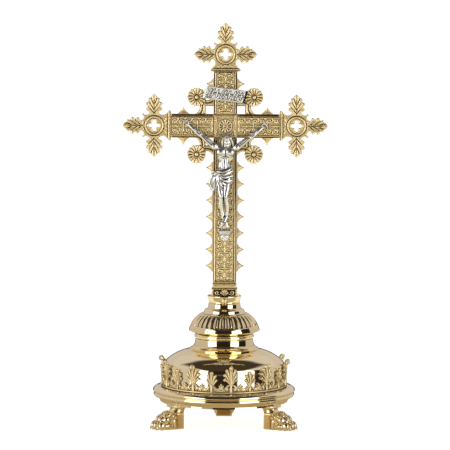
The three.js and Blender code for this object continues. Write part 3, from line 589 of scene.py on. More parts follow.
def skin(clay):
    # Surface nets: one point in each cell that the surface crosses, joined across each crossed grid line.
    field = clay["field"].copy()
    for axis in range(3):  # the outermost layer stays empty, so the skin closes
        for side in (0, -1):
            index = [slice(None)] * 3
            index[axis] = side
            field[tuple(index)] = 1.0
    inside = field < 0
    shape = np.array(field.shape) - 1
    corners = [(a, b, c) for a in (0, 1) for b in (0, 1) for c in (0, 1)]
    part = lambda grid, c: grid[c[0] : c[0] + shape[0], c[1] : c[1] + shape[1], c[2] : c[2] + shape[2]]
    total = sum(part(inside, c).astype(np.int8) for c in corners)
    cells = np.argwhere((total > 0) & (total < 8))
    number = np.full(shape, -1, np.int64)
    number[tuple(cells.T)] = np.arange(len(cells))
    spot, hits = np.zeros((len(cells), 3)), np.zeros(len(cells))
    for c in corners:
        for axis in range(3):
            if c[axis]:
                continue
            d = list(c)
            d[axis] = 1
            a = field[tuple((cells + c).T)]
            b = field[tuple((cells + d).T)]
            crossed = (a < 0) != (b < 0)
            t = np.where(crossed, a / np.where(crossed, a - b, 1), 0)
            for k in range(3):
                spot[:, k] += crossed * (c[k] + (t if k == axis else 0))
            hits += crossed
    points = clay["low"] + clay["step"] * (cells + spot / hits[:, None])
    faces = []
    for axis in range(3):
        one, two = (axis + 1) % 3, (axis + 2) % 3
        a = inside[tuple(slice(1, -1) if k != axis else slice(0, -1) for k in range(3))]
        b = inside[tuple(slice(1, -1) if k != axis else slice(1, None) for k in range(3))]
        for found, flip in ((a & ~b, False), (~a & b, True)):
            at = np.argwhere(found)
            base = at.copy()
            base[:, one] += 1
            base[:, two] += 1
            ring = []
            for da, db in ((0, 0), (1, 0), (1, 1), (0, 1)):
                cell = base.copy()
                cell[:, one] -= da
                cell[:, two] -= db
                ring.append(number[tuple(cell.T)])
            quad = np.stack(ring[::-1] if flip else ring, 1)
            faces.append(quad)
    return eased(points, faces), faces


def eased(points, faces, rounds=3):
    # Takes the grid's steps out of a skin without shrinking it.
    edges = np.vstack([face[:, [k, (k + 1) % 4]] for face in faces for k in range(4)])
    one, other = edges.T
    count = np.maximum(np.bincount(edges.ravel(), minlength=len(points)), 1)
    for _ in range(rounds):
        for push in (0.5, -0.53):
            near = np.stack([nearMean(points[:, k], one, other, count) for k in range(3)], 1)
            points = points + push * (near - points)
    return points


# Base and stem, turned

boreRadius = 3.4  # the tie rod passes through
underLid = 2.2  # wall of the dome


def linked(start, *legs):
    # Curves end to end: each goes on from where the last one stopped.
    curves = []
    for leg in legs:
        curves.append([start, *leg])
        start = leg[-1]
    return curves


def standing(node):
    # Where a piece starts, and how tall it is.
    low, high = ends(node)
    return low[2], high[2] - low[2]


def turnedPiece(name, node, profile, level, *finish):
    addPiece(name, turnedMesh(name, profile, level, *finish), "polishedBrass", [node])


rimShape = {"fillet": 98.0, "lowBead": 106.4, "highBead": 107.3, "groove": 103.6, "ledge": 85.5}
fillet, lowBead, highBead, groove, ledge = rimShape.values()
level, tall = standing("rim")
profile = closedProfile(linked(
    (fillet - 3, 0),
    [(fillet, 0)],
    [(fillet + 1.2, 2.2), (fillet + 3.4, 4.2)],
    [(lowBead - 0.8, 5.6), (lowBead, 8.0), (lowBead - 0.5, 10.3), (groove, 11.6)],
    [(highBead - 0.5, 12.9), (highBead, 14.4), (highBead - 0.9, 16.4), (highBead - 3.4, 18.3), (highBead - 6.8, 19.1)],
    [(highBead - 9, tall)],
    [(ledge, tall)],
    [(ledge, tall - 3)],
    [(highBead - 10, tall - 3)],
    [(lowBead - 4.2, 9), (fillet - 1, 4)],
    [(fillet - 3, 0)],
), corner=0.35)
turnedPiece("moulded_rim", "rim", profile, level)

domeShape = {"drum": 91.5, "stepRadius": 52.6, "stepLevel": 55.2, "neckFoot": 49.6, "neckTop": 43.5}
drum, stepRadius, stepLevel, neckFoot, neckTop = domeShape.values()
level, tall = standing("base_dome")
profile = closedProfile(linked(
    (boreRadius, tall),
    [(neckTop, tall)],
    [(neckTop + 0.3, tall - 4), (neckTop + 1.9, tall - 9.5), (neckFoot - 0.4, tall - 13.6),
        (neckFoot + 1.2, tall - 14.8)],
    [(stepRadius, stepLevel + 2.0)],
    [(stepRadius - 1.5, stepLevel + 0.9)],
    [(stepRadius + 0.6, stepLevel - 0.1)],
    [(62, 52.9), (73, 48.6), (82.6, 42.6), (88.6, 37.4), (90.9, 34.2), (drum, 31), (drum, 26)],
    [(drum, 0)],
    [(drum - underLid, 0)],
    [(drum - underLid, 31), (80.6, 40.6), (62, 50.4), (48.5, 54.4)],
    [(41.3, tall - underLid)],
    [(boreRadius, tall - underLid)],
    [(boreRadius, tall)],
))
turnedPiece("shouldered_dome", "base_dome", profile, level)

ringShape = {"radius": 44.9, "inner": 36.0}
outer, inner = ringShape.values()
level, tall = standing("knop_ring")
profile = closedProfile(linked(
    (inner, 0),
    [(outer - 2.0, 0)],
    [(outer - 0.5, 1.2), (outer, 3.0), (outer - 0.3, 4.8), (outer - 1.4, 6.0)],
    [(outer - 2.6, tall)],
    [(inner, tall)],
    [(inner, 0)],
), step=0.5)
turnedPiece("half_round_ring", "knop_ring", profile, level)

knopShape = {"radius": 53.5, "top": 36.0, "flutes": 36, "depth": 1.7, "bandLow": 4.9, "bandHigh": 12.8, "foot": 40.9}
wide, top, flutes, fluteDepth, bandLow, bandHigh, foot = knopShape.values()
fluteRoot = top  # the flutes fade out towards the neck
level, tall = standing("knop")
fluteFoot, fluteTop = bandHigh - 0.6, tall - 1.0


def fluted(turn, radius, height):
    # Ribs between hollow flutes, each flute with a round end on the band.
    climb = (height - fluteFoot) / (fluteTop - fluteFoot)
    across = np.abs(np.cos(turn * flutes / 2 + math.pi / 2))
    reach = np.clip((climb * 11), 0, 1) * np.clip((1 - climb) * 16, 0, 1)
    hollow = np.sqrt(np.clip(1 - (across / 0.86) ** 2, 0, 1)) * np.sqrt(np.clip(reach, 0, 1))
    fromNeck = radius - fluteRoot
    outer = (climb > 0) & (climb < 1) & (fromNeck > 0.4) & (fluteSide[None, :] > 0)
    return radius - fluteDepth * hollow * outer * np.clip(0.2 + 1.1 * fromNeck / 12, 0.25, 1), height


profile = closedProfile(linked(
    (foot - 2.6, 0),
    [(foot, 0)],
    [(foot + 2.8, 0.9), (foot + 7.4, 2.5), (wide - 1.6, bandLow - 1.2)],
    [(wide, bandLow)],
    [(wide - 0.8, 8.4), (wide - 2.4, bandHigh), (wide - 4.6, 17.4), (wide - 7.9, 22.2), (wide - 12.4, 26.6),
        (top + 0.9, 29.6)],
    [(top, 29.9), (top, tall)],
    [(boreRadius, tall)],
    [(boreRadius, tall - 2.6)],
    [(top - 5, tall - 2.6), (wide - 8, 12.8), (wide - 5.4, 6.4)],
    [(foot - 2.6, 0)],
), step=0.5, corner=0.35)
fluteSide = np.arange(len(profile)) < np.argmax(profile[:, 1] > tall - 0.4)
turnedPiece("fluted_knop", "knop", profile, level, flutes * 16, fluted, 70, 10)

spoolShape = {"base": 33.4, "step": 30.2, "top": 23.8}
base, step, top = spoolShape.values()
level, tall = standing("neck_spool")
profile = closedProfile(linked(
    (boreRadius, 0),
    [(base, 0)],
    [(base - 0.9, 0.7), (step + 0.5, 1.1)],
    [(step + 0.3, 2.6), (step - 0.2, 4.6), (step - 0.7, 5.5)],
    [(step - 1.6, 6.1)],
    [(top + 2.9, 6.5), (top + 1.5, 7.6), (top + 0.7, 9.6), (top + 0.4, 12.2), (top + 0.2, tall - 0.9)],
    [(top - 0.5, tall)],
    [(boreRadius, tall)],
    [(boreRadius, 0)],
), step=0.5, corner=0.3)
turnedPiece("stepped_spool", "neck_spool", profile, level, 160)

collarShape = {"lip": 25.6, "foot": 22.9, "boss": 4.7, "bossRise": 0.46, "bossFlare": 24.0}
lip, foot, boss, bossRise, bossFlare = collarShape.values()
collarLow = ends("neck_spool")[1][2] + 0.3
tall = ends("collar")[1][2] - collarLow
profile = closedProfile(linked(
    (boreRadius, 0),
    [(foot, 0)],
    [(foot + 0.3, 0.9), (foot + 0.1, 1.7)],
    [(foot + 0.7, 4.0), (foot + 1.6, 6.8), (lip - 0.3, 9.2)],
    [(lip, 10.2), (lip - 0.1, tall)],
    [(lip - 1.2, tall)],
    [(lip - 2.2, 4.6)],
    [(boreRadius, 4.6)],
    [(boreRadius, 0)],
), step=0.6, corner=0.3)
turnedPiece("flared_collar", "collar", profile, collarLow, 160)
bossClay = newClay((-10, -6, -7), (10, 6, 7), 0.36)
flare = math.radians(bossFlare)
lean = [[1, 0, 0], [0, math.cos(flare), -math.sin(flare)], [0, math.sin(flare), math.cos(flare)]]
press(bossClay, *ballForm((0, 0.6, 0), (boss, 1.9, boss), lean), 0.3)
press(bossClay, *cordForm([(0, 1.8, 0), (0, 3.4, 0)], [boss + 0.9, boss + 0.9]), 0.8)
points, faces = skin(bossClay)
points += (0, stemY - lip + 1.1, collarLow + tall * bossRise)
addPiece("collar_boss", makeMesh("collar_boss", points, faces, 60, 8), "satinGold", ["collar"])
print("turned stem and base done")

# Foot of the shaft: block with a framed shell, and the belt above it

shaftFootShape = {"edge": 1.0, "sunk": 1.6, "spacing": 0.42, "fieldLow": 3.4, "fieldHigh": 16.2, "fieldHalf": 17.2}


def tierMesh(name, levels, centre, relief, spacing, edge):
    # Rectangular tiers lofted upwards: (height, half width, half depth), their front and back carved by relief.
    around = []
    wide, deep = levels[1][1], levels[1][2]
    cornersAt = [(1, -1), (1, 1), (-1, 1), (-1, -1)]
    counts = [int(2 * deep / spacing), int(2 * wide / spacing)] * 2
    for k, (sx, sy) in enumerate(cornersAt):
        nx, ny = cornersAt[(k + 1) % 4]
        t = np.arange(counts[k]) / counts[k]
        around.append(np.stack([sx + (nx - sx) * t, sy + (ny - sy) * t], 1))
    around = np.vstack(around)
    line = closedLevels(levels, spacing)
    rows = []
    for height, halfWide, halfDeep in line:
        flat = around * (halfWide, halfDeep)
        corner = np.maximum(np.abs(flat) - (halfWide - edge, halfDeep - edge), 0)
        length = np.linalg.norm(corner, axis=1)
        scale = np.where((corner > 0).all(1), edge / np.maximum(length, 1e-9), 1)
        flat = np.sign(flat) * (np.minimum(np.abs(flat), (halfWide - edge, halfDeep - edge)) + corner * scale[:, None])
        rows.append(np.column_stack([flat, np.full(len(flat), height)]))
    points = np.vstack(rows)
    n, m = len(around), len(rows)
    front = np.abs(points[:, 1]) > np.repeat([row[2] for row in line], n) - 0.3
    cut = np.where(front, relief(points[:, 0], points[:, 2]), 0)
    points[:, 1] -= np.sign(points[:, 1]) * cut
    i, j = np.meshgrid(np.arange(n), np.arange(m - 1), indexing="ij")
    sides = np.stack([j * n + i, j * n + (i + 1) % n, (j + 1) * n + (i + 1) % n, (j + 1) * n + i], -1).reshape(-1, 4)
    caps = [[np.arange(n)[::-1].tolist()], [(np.arange(n) + (m - 1) * n).tolist()]]
    points += centre
    return makeMesh(name, points, [sides, *caps], 50, 12, 0.5 * np.clip(cut, 0, 1))


def closedLevels(levels, spacing):
    out = []
    for a, b in zip(levels[:-1], levels[1:]):
        count = max(1, int(np.linalg.norm(np.subtract(b, a)) / spacing))
        out += [tuple(np.array(a) + (np.array(b) - a) * t / count) for t in range(count)]
    return out + [levels[-1]]


def shaftFootRelief(x, z):
    # A sunk field with a shell between two scrolls.
    block = shaftFootShape
    inner = np.minimum(np.minimum(z - block["fieldLow"], block["fieldHigh"] - z), block["fieldHalf"] - np.abs(x))
    sunk = block["sunk"] * np.clip(inner / 0.8, 0, 1)
    strokes = [([(0, 6.4), (5.4 * math.sin(a), 6.4 + 8.6 * math.cos(a))], (0.8, 1.9), (1.1, 1.8)) for a in (0, 0.52,
        1.04)]
    strokes.append((curl((11.0, 11.2), 4.0, 1.0, 215, 1.2), (1.2, 0.9), (1.8, 1.5)))
    strokes.append(([(6.6, 5.6), (10.6, 4.6), (16.0, 6.4)], (1.1, 1.5), (1.6, 1.2)))
    return sunk - ridges(np.abs(x), z, strokes) * (inner > 0)


low, high = ends("shaft_foot")
(wide, deep), tall = (high - low)[:2] / 2, high[2] - low[2]
footLevels = [
    (0, wide - 1, deep - 1), (0.8, wide, deep), (16.6, wide, deep), (17.2, wide - 0.6, deep - 1.0),
        (17.4, wide - 2.2, 8.9),
    (18.6, wide - 1.6, 9.2), (21.2, wide - 1.3, 9.5), (23.6, wide - 1.5, 9.2), (tall, wide - 2.2, 8.4),
]
seat = (*middle("shaft_foot")[:2], low[2])
block = tierMesh("shell_block", footLevels, seat, shaftFootRelief, shaftFootShape["spacing"], shaftFootShape["edge"])
addPiece("shell_block", block, "satinGold", ["shaft_foot"])

# Gallery of palmettes round the drum

galleryShape = {"pairs": 10, "turn": 6.5, "strip": 8.6, "step": 0.5, "base": 1.3, "tall": 42.5, "beadPitch": 2.94}
low, high = ends("palmette_gallery")
galleryLevel = low[2]
galleryInner = ends("base_dome")[1][0] + 0.6
bead = galleryShape["beadPitch"]
galleryMean = galleryInner + 1.5
pitch = 2 * math.pi * galleryMean / galleryShape["pairs"]

largeLobes = [  # right half of the large palmette, from its waist up and from its waist down: line, widths, heights
    ([(0, 12), (0, 26), (0, 38.0)], (1.3, 3.4), (1.8, 3.6)),
    ([(0.9, 14), (2.8, 25), (6.2, 34.4)], (1.0, 2.7), (1.5, 2.9)),
    ([(1.4, 14), (4.4, 22), (8.6, 28.4), (9.4, 27.4)], (1.0, 2.3), (1.4, 2.7)),
    ([(1.8, 14), (5.2, 18.6), (8.8, 21.8), (9.8, 20.4)], (0.9, 1.9), (1.3, 2.4)),
    ([(0, 4), (0, 13)], (2.4, 1.8), (2.6, 2.4)),
    ([(1.6, 13.2), (4.6, 12.0), (7.4, 8.6), (6.2, 6.2)], (1.0, 2.2), (1.6, 2.4)),
]
smallLobes = [
    ([(0, 10), (0, 21), (0, 30.4)], (1.2, 2.8), (1.6, 3.0)),
    ([(0.9, 11), (3.0, 20), (5.2, 26.2)], (0.9, 2.3), (1.3, 2.6)),
    ([(1.3, 11), (4.4, 16.4), (6.8, 19.8)], (0.9, 1.9), (1.2, 2.3)),
    ([(0, 4), (0, 11)], (2.0, 1.5), (2.2, 2.0)),
    ([(1.3, 10.8), (4.0, 9.8), (5.8, 7.0)], (0.9, 1.8), (1.4, 2.0)),
]
betweenLobes = [
    ([(0, 7), (0, 13.4)], (1.3, 1.7), (1.4, 1.8)),
    ([(0.8, 7), (2.8, 11.2)], (1.0, 1.3), (1.1, 1.5)),
]


def galleryParts(u, v):
    across = np.mod(u + pitch / 2, pitch) - pitch / 2
    height, edge = np.zeros(np.shape(u)), np.full(np.shape(u), -1e3)
    toSmall = pitch / 2 - np.abs(across)
    toBetween = np.abs(np.abs(across) - pitch / 4)
    for centre, lobes in ((np.abs(across), largeLobes), (np.abs(toSmall), smallLobes), (toBetween, betweenLobes)):
        for line, wide, high in lobes:
            h, e = ridge(centre, v, line, wide, high)
            height, edge = np.maximum(height, h), np.maximum(edge, e)
    return height, edge


def galleryEdge(u, v):
    strip = np.minimum(v, galleryShape["strip"] - v)
    return np.maximum(galleryParts(u, v)[1], strip)


def galleryFront(u, v, d):
    leaves = galleryParts(u, v)[0]
    strip = np.where(v < galleryShape["strip"], 0.5, 0.0)
    fillet = 1.9 * np.sqrt(np.clip(1 - ((v - 1.5) / 1.6) ** 2, 0, 1))
    beads = 1.1 * np.sqrt(np.clip(1 - ((v - 4.4) / 1.1) ** 2 - ((np.mod(u, bead) - bead / 2) / 1.15) ** 2, 0, 1))
    return galleryShape["base"] + np.maximum.reduce([leaves, strip, fillet, beads]) + rounded(d, 0.8, 0.7)


around = 2 * math.pi * galleryMean
points, faces = reliefSheet(galleryEdge, galleryFront, flatBack, (0, 0), (around, galleryShape["tall"]),
    galleryShape["step"], wrap=True)
u, v, w = points.T
# painted shade: darker along the cut edges of the palmettes, above the strip
palmetteEdgeShade = 0.35 * (galleryEdge(u, v) < 0.7) * (v > 3)
angle = u / galleryMean + math.radians(galleryShape["turn"])
fromLarge = np.abs(np.mod(u + pitch / 2, pitch) - pitch / 2)
lean = np.where(fromLarge < 12, 3.0 * np.clip((v - 30) / 12, 0, 1) ** 2, 2.0 * np.clip((v - 24) / 9, 0, 1) ** 2)
radius = galleryInner + w + lean
points = np.stack([radius * np.sin(angle), stemY - radius * np.cos(angle), galleryLevel + v], 1)
shells = [(points, faces)]


def tubeShell(line, radii, sides):
    # A closed tube along a line, with blunt points at its ends.
    line = np.asarray(line, float)
    radii = np.interp(np.linspace(0, 1, len(line)), np.linspace(0, 1, len(radii)), radii)
    tangent = np.gradient(line, axis=0)
    tangent /= np.linalg.norm(tangent, axis=1)[:, None]
    rings = []
    side = np.cross(tangent[0], (0.3, 0.2, 1.0))
    turn = np.linspace(0, 2 * math.pi, sides, endpoint=False)[:, None]
    for spot, way, radius in zip(line, tangent, radii):
        side = side - way * (side @ way)
        side /= np.linalg.norm(side)
        rings.append(spot + radius * (np.cos(turn) * side + np.sin(turn) * np.cross(way, side)))
    capStart = line[0] - tangent[0] * radii[0] * 0.7
    capEnd = line[-1] + tangent[-1] * radii[-1] * 0.7
    points = np.vstack(rings + [capStart[None], capEnd[None]])
    return points, cappedRings(len(line), sides)


curlRadius, curlLevel = 2.9, 38.6
for leaf in range(galleryShape["pairs"]):
    angle = 2 * math.pi * leaf / galleryShape["pairs"] + math.radians(galleryShape["turn"])
    share = np.linspace(0, 1, 16)
    bend = -0.5 * math.pi + share * 1.55 * math.pi  # the tip rolls outward and down
    out = galleryInner + 5.6 - curlRadius * np.cos(bend + 0.5 * math.pi)
    up = curlLevel + curlRadius * np.sin(bend + 0.5 * math.pi)
    line = np.stack([out * math.sin(angle), stemY - out * math.cos(angle), galleryLevel + up], 1)
    shells.append(tubeShell(line, [1.7, 1.5, 0.9], 12))
gallery = joinShells(shells)
# painted shade of the palmette edges; the curled tips get none
galleryEdgeShade = np.zeros(len(gallery[0]))
galleryEdgeShade[: len(palmetteEdgeShade)] = palmetteEdgeShade
addPiece("palmette_band", makeMesh("palmette_band", *gallery, 60, 16, galleryEdgeShade), "satinGold", ["palmette_gallery"])
print("gallery done")

# Panels of the cross

panel = {"edge": 0.8, "face": 3.95, "bevel": 3.3, "groove": (3.5, 4.5), "ground": 2.75, "step": 0.38, "cell": 24.2}

vine = [  # one cell of scrollwork, right half: line, widths, heights
    (curl((5.8, 7.2), 4.6, 1.2, -125, 1.3, 26), (1.25, 0.9), (1.15, 0.95)),
    (curl((6.4, 18.2), 4.2, 1.0, 115, -1.25, 24), (1.15, 0.8), (1.1, 0.9)),
    ([(0, -1.5), (0, 3.4)], (1.9, 0.7), (1.2, 0.8)),
    ([(0, 10.2), (0, 15.6)], (0.9, 2.1), (0.9, 1.25)),
    ([(0, 19.4), (0, 20.6)], (1.5, 1.2), (1.2, 1.0)),
    ([(11.0, 12.2), (9.2, 13.4), (6.8, 12.6)], (1.5, 0.9), (1.15, 0.8)),
    ([(11.6, 1.6), (10.4, 0.2)], (1.6, 1.0), (1.1, 0.8)),
    ([(11.6, 23.0), (10.6, 24.6)], (1.6, 1.0), (1.1, 0.8)),
    ([(0, 3.2), (2.4, 4.2)], (1.2, 0.8), (1.1, 0.8)),
    ([(5.7, 7.1), (5.9, 7.3)], (1.4, 1.4), (1.25, 1.25)),
    ([(6.3, 18.1), (6.5, 18.3)], (1.3, 1.3), (1.2, 1.2)),
]


def panelProfile(across):
    # Height of bevel, plain band and field, from how far a point is from the long edge.
    inset = beamHalf - np.abs(across)
    bevel = panel["edge"] + (panel["face"] - panel["edge"]) * np.clip(inset / panel["bevel"], 0, 1) ** 0.85
    groove = np.clip(1 - np.abs(inset - np.mean(panel["groove"])) / 0.6, 0, 1)
    field = np.clip((inset - panel["groove"][1]) / 0.5, 0, 1)
    return np.where(inset < panel["groove"][0], bevel, panel["ground"]) - groove * 0.5, field


def panelMesh(name, lengthwise, start, stop, isShaft=False):
    length = stop - start
    cells = max(1, round(length / panel["cell"]))
    cell = length / cells
    shape = lambda u, v: np.minimum(beamHalf - np.abs(u), np.minimum(v, length - v))

    def front(u, v, d):
        base, field = panelProfile(u)
        along = np.mod(v, cell) * (panel["cell"] / cell)
        leaves = ridges(np.abs(u), along, vine) + ridges(np.abs(u), along - panel["cell"], vine[2:3] + vine[6:7])
        ground = base + np.minimum(leaves, 1.2) * field
        tail = length - v
        if isShaft:  # the far end closes with a row of small arches
            arch = 2.6 + 1.5 * np.abs(np.cos(u * math.pi / 8.8))
            ground = np.where((tail < arch) & (np.abs(u) < beamHalf - panel["bevel"] - 0.1), 1.5 + 0 * u, ground)
        return np.minimum(panel["edge"] + (ground - panel["edge"]) * np.clip(np.minimum(v, tail) / 0.9, 0, 1),
            panel["face"])

    points, faces = reliefSheet(shape, front, flatBack, (-beamHalf, 0), (beamHalf, length), panel["step"])
    u, v, w = points.T
    inset = beamHalf - np.abs(u)
    # painted shade: dark along the bevelled long edges of each panel
    paintedShadeAndPatina = 0.8 * (inset < 2.0)
    if isShaft:  # painted shadow: black bevels beside the figure, thinning to a line lower down, and a dark line in the groove
        wide = np.interp(v, [0, 55, 120, 200], [3.9, 3.7, 1.5, 1.2])
        paintedShadeAndPatina = 0.8 * (inset < wide) + 0.5 * (np.abs(inset - np.mean(panel["groove"])) < 0.7)
    # painted shade where the panel's far end meets the next part
    paintedShadeAndPatina = np.maximum(paintedShadeAndPatina, 0.8 * (length - v < 1.6))
    # a little lighter across the field lower down the shaft
    if isShaft:
        paintedShadeAndPatina = paintedShadeAndPatina - 0.10 * (v > 110) * (inset > 3)
    alongX, alongZ = lengthwise
    x = u * alongZ + (v + start) * alongX
    z = crossLevel - u * alongX + (v + start) * alongZ
    return makeMesh(name, np.stack([x, panelSeat - w, z], 1), faces, 50, 22, paintedShadeAndPatina)


for name, way in (("shaft_panel", (0, -1)), ("top_panel", (0, 1)), ("left_arm_panel", (-1, 0)),
    ("right_arm_panel", (1, 0))):
    low, high = ends(name)
    edges = [low[0] * way[0] + (low[2] - crossLevel) * way[1], high[0] * way[0] + (high[2] - crossLevel) * way[1]]
    mesh = panelMesh("scrolled_" + name, way, min(edges), max(edges), name == "shaft_panel")
    addPiece("scrolled_" + name, mesh, "satinGold", [name])

crossingMotif = [
    (curl((0, 0), 9.6, 9.6, 0, 1, 48), (0.8, 0.8), (1.15, 1.15)),
    (curl((0, 0), 3.0, 3.0, 0, 1, 24), (0.6, 0.6), (1.0, 1.0)),
    ([(0, 0), (0.1, 0)], (2.0, 2.0), (1.2, 1.2)),
] + [
    ([(near * math.cos(a), near * math.sin(a)) for near in (3.4, 8.2)], (0.7, 1.5),
        (0.9, 1.2)) for a in np.radians([0, 30, 60, 90])
] + [
    (curl((12.0, 12.0), 2.9, 0.7, 225, 1.2, 18), (0.8, 0.5), (1.1, 0.8)),
    ([(8.6, 13.8), (4.6, 12.6)], (1.2, 0.6), (1.1, 0.7)),
    ([(13.8, 8.6), (12.6, 4.6)], (1.2, 0.6), (1.1, 0.7)),
]


def crossingFront(u, v, d):
    leaves = np.minimum(ridges(np.abs(u), np.abs(v), crossingMotif), 1.25)
    seam = np.clip(1 - np.abs(d - 1.5) / 0.5, 0, 1) * 0.5
    field = panel["ground"] + leaves * np.clip((d - 1.6) / 0.5, 0, 1)
    raised = panel["edge"] + (field - panel["edge"]) * np.clip(d / 0.9, 0, 1) ** 0.7
    return np.minimum(raised + 0.35 * (d > 0.5) * (d < 1.4) - seam, panel["face"])


square = lambda u, v: np.minimum(beamHalf - np.abs(u), beamHalf - np.abs(v))
points, faces = reliefSheet(square, crossingFront, flatBack, (-beamHalf, -beamHalf), (beamHalf, beamHalf),
    panel["step"])
points = np.stack([points[:, 0], panelSeat - points[:, 2], crossLevel + points[:, 1]], 1)
addPiece("scrolled_crossing", makeMesh("scrolled_crossing", points, faces, 50, 22), "satinGold", ["crossing_panel"])
print("panels done")

# Finials: a pierced ring with three leaves, standing on a flared console

finial = {
    "half": 4.0, "ringOuter": 14.9, "ringInner": 11.2, "lobe": (4.0, 2.9), "lobeOut": 4.8, "eye": 4.7,
    "lip": 22.5, "neck": 15.8, "foot": 25.4, "reach": 47.5, "step": 0.36,
}
halfLeaf = [(19, 7.4), (20.6, 7.6), (22.0, 9.6), (23.4, 11.9), (25.2, 12.3), (26.6, 11.2), (28.6, 9.6), (29.6, 10.0),
    (31.0, 12.1), (33.2, 12.5), (34.8, 11.0),
            (35.8, 8.6), (37.4, 8.2), (39.2, 8.8), (41.2, 7.9), (41.8, 5.6), (43.2, 4.6), (45.0, 3.2), (46.2, 1.3),
                (47.5, 0)]


def finialOutline():
    along = lambda line, step: [tuple(spot) for spot in smoothLine(line, step)]
    leaf = along(halfLeaf, 0.8)
    top = [(b, a) for a, b in leaf[::-1]]
    cusp = [(8.4, 17.6), (11.0, 15.9), (13.6, 15.9), (15.2, 17.1), (16.3, 18.2), (17.4, 17.4), (18.2, 16.3),
        (17.1, 15.2), (15.9, 13.6), (15.9, 11.0), (17.6, 8.4)]
    lower = [(a, -b) for a, b in leaf[-2::-1]]
    console = [(17.0, -9.0), (finial["neck"] + 0.4, -10.6), (finial["neck"], -13.6), (finial["neck"] + 0.9, -16.6),
        (finial["neck"] + 2.8, -18.8), (finial["lip"] - 2.2, -20.6),
               (finial["lip"] - 0.4, -22.0), (finial["lip"], -23.4), (finial["lip"] - 0.3, -24.8),
                   (finial["lip"] - 1.1, -finial["foot"])]
    right = top + along(cusp, 0.7) + leaf + lower + along(console, 0.8)
    left = [(-x, z) for x, z in right[::-1][:-1]]
    return right + left


finialEdge = insideOf(finialOutline())


def quatrefoil(u, v):
    long, wide = finial["lobe"]
    u, v = np.abs(u), np.abs(v)
    near, far = np.maximum(u, v), np.minimum(u, v)
    lobe = (1 - np.hypot((near - finial["lobeOut"]) / long, far / wide)) * wide
    return np.maximum(lobe, finial["eye"] - np.hypot(u, v))


leafVeins = [
    ([(12, 0), (30, 0), (45.6, 0)], (2.0, 3.6), (1.2, 1.5)),
    ([(24, 1.8), (32, 4.6), (38.8, 7.0)], (1.6, 3.2), (1.1, 1.4)),
    ([(18, 2.8), (25, 6.0), (32.0, 10.6)], (1.8, 3.4), (1.1, 1.5)),
    ([(15, 3.8), (19.6, 6.8), (24.2, 10.6)], (1.8, 3.2), (1.1, 1.4)),
]
leafGrooves = [[(19, 0.3), (28.8, 9.0)], [(25, 0.8), (36.6, 7.8)], [(33, 0.8), (42.0, 4.9)], [(17, 0), (39, 0)]]
leafTips = [(24.9, 11.6), (33.4, 11.8), (40.8, 8.0), (46.2, 0)]


def finialArms(u, v):
    # Along and across the nearest of the three leaves; the fourth side is the console.
    upright = v > np.abs(u)
    along = np.where(upright, v, np.abs(u))
    across = np.where(upright, np.abs(u), np.abs(v))
    console = v < -np.abs(u) * 0.8
    return along, across, console


def finialTips(u, v):
    along, across, console = finialArms(u, v)
    nearest = np.minimum.reduce([np.hypot(along - a, across - b) for a, b in leafTips])
    return np.where(console, 9.0, nearest)


def leafCut(u, v):
    along, across, console = finialArms(u, v)
    return ridges(along, across, [(line, (0.9, 0.6), (1.0, 1.0)) for line in leafGrooves]) * ~console


def finialFront(u, v, d):
    radius = np.hypot(u, v)
    along, across, console = finialArms(u, v)
    roll = lambda value, crest, half, high: high * np.sqrt(np.clip(1 - ((value - crest) / half) ** 2, 0, 1))
    height = 2.0 + 0.35 * np.clip((radius - 16) / 6, 0, 1)
    veins = np.where((along > 13) & ~console, ridges(along, across, leafVeins), 0)
    height = height + (veins - 0.7 * leafCut(u, v)) * np.clip((radius - 15.2) / 1.5, 0, 1)
    height = np.maximum(height, 2.1 + roll(finialTips(u, v), 0, 1.6, 1.4))
    height = np.where(radius < finial["ringOuter"], 2.2, height)
    height = np.maximum(height, 2.2 + roll(radius, 13.2, 1.5, 1.2))
    rimRoll = roll(-quatrefoil(u, v), 0.7, 0.75, 0.5) * (radius < finial["ringInner"] - 0.3)
    height = np.maximum(height, 2.3 + rimRoll)
    spray = ridges(np.abs(u), v, [([(1.6, -16.6), (4.6, -18.8)], (0.9, 1.4), (0.4, 0.7)),
        ([(6.4, -16.0), (10.2, -18.4)], (0.9, 1.5), (0.4, 0.7))])
    height = np.where(console & (radius > finial["ringOuter"] + 0.3), np.maximum(height, 2.3 + spray), height)
    lip = np.maximum(roll(v, -22.4, 1.5, 2.0), roll(v, -24.6, 0.8, 1.3))
    height = np.where(v < -20.5, np.maximum(height, 2.4 + lip), height)
    return height + rounded(d, 0.9, 0.8)


def finialBack(u, v, d):
    return -finial["half"] - rounded(d, 1.0, 0.9) - 0.9 * (v < -21.8)


pierced = lambda u, v: np.minimum(finialEdge(u, v), -quatrefoil(u, v))
points, faces = reliefSheet(pierced, finialFront, finialBack, (-48.2, -25.6), (48.2, 48.2), finial["step"])
u, v, w = points.T
ringAway = np.abs(np.hypot(u, v) - finial["ringOuter"] + 0.1)
# painted shade under the console's lip; darker also at the leaf tips, round the ring and in the leaf grooves
paintedShadeAndPatina = 0.5 * np.clip(1 - finialTips(u, v) / 2.4, 0,
    1) + 0.3 * (ringAway < 0.9) + 0.3 * (leafCut(u, v) > 0.2) + 0.8 * (v < -23.9)
finialMesh = makeMesh("pierced_finial", np.stack([u, -w, v], 1), faces, 55, 22, paintedShadeAndPatina)
ringOut = ends("top_finial")[1][2] - crossLevel - finial["reach"]
for name, turn in (("top_finial", 0), ("right_finial", 90), ("left_finial", -90)):
    seat = placed(0, stemY, crossLevel, turn, "Y") @ Matrix.Translation((0, 0, ringOut * millimetre))
    addPiece("pierced_" + name, finialMesh, "satinGold", [name], seat)
print("finials done")

# Corner rosettes on their double bars

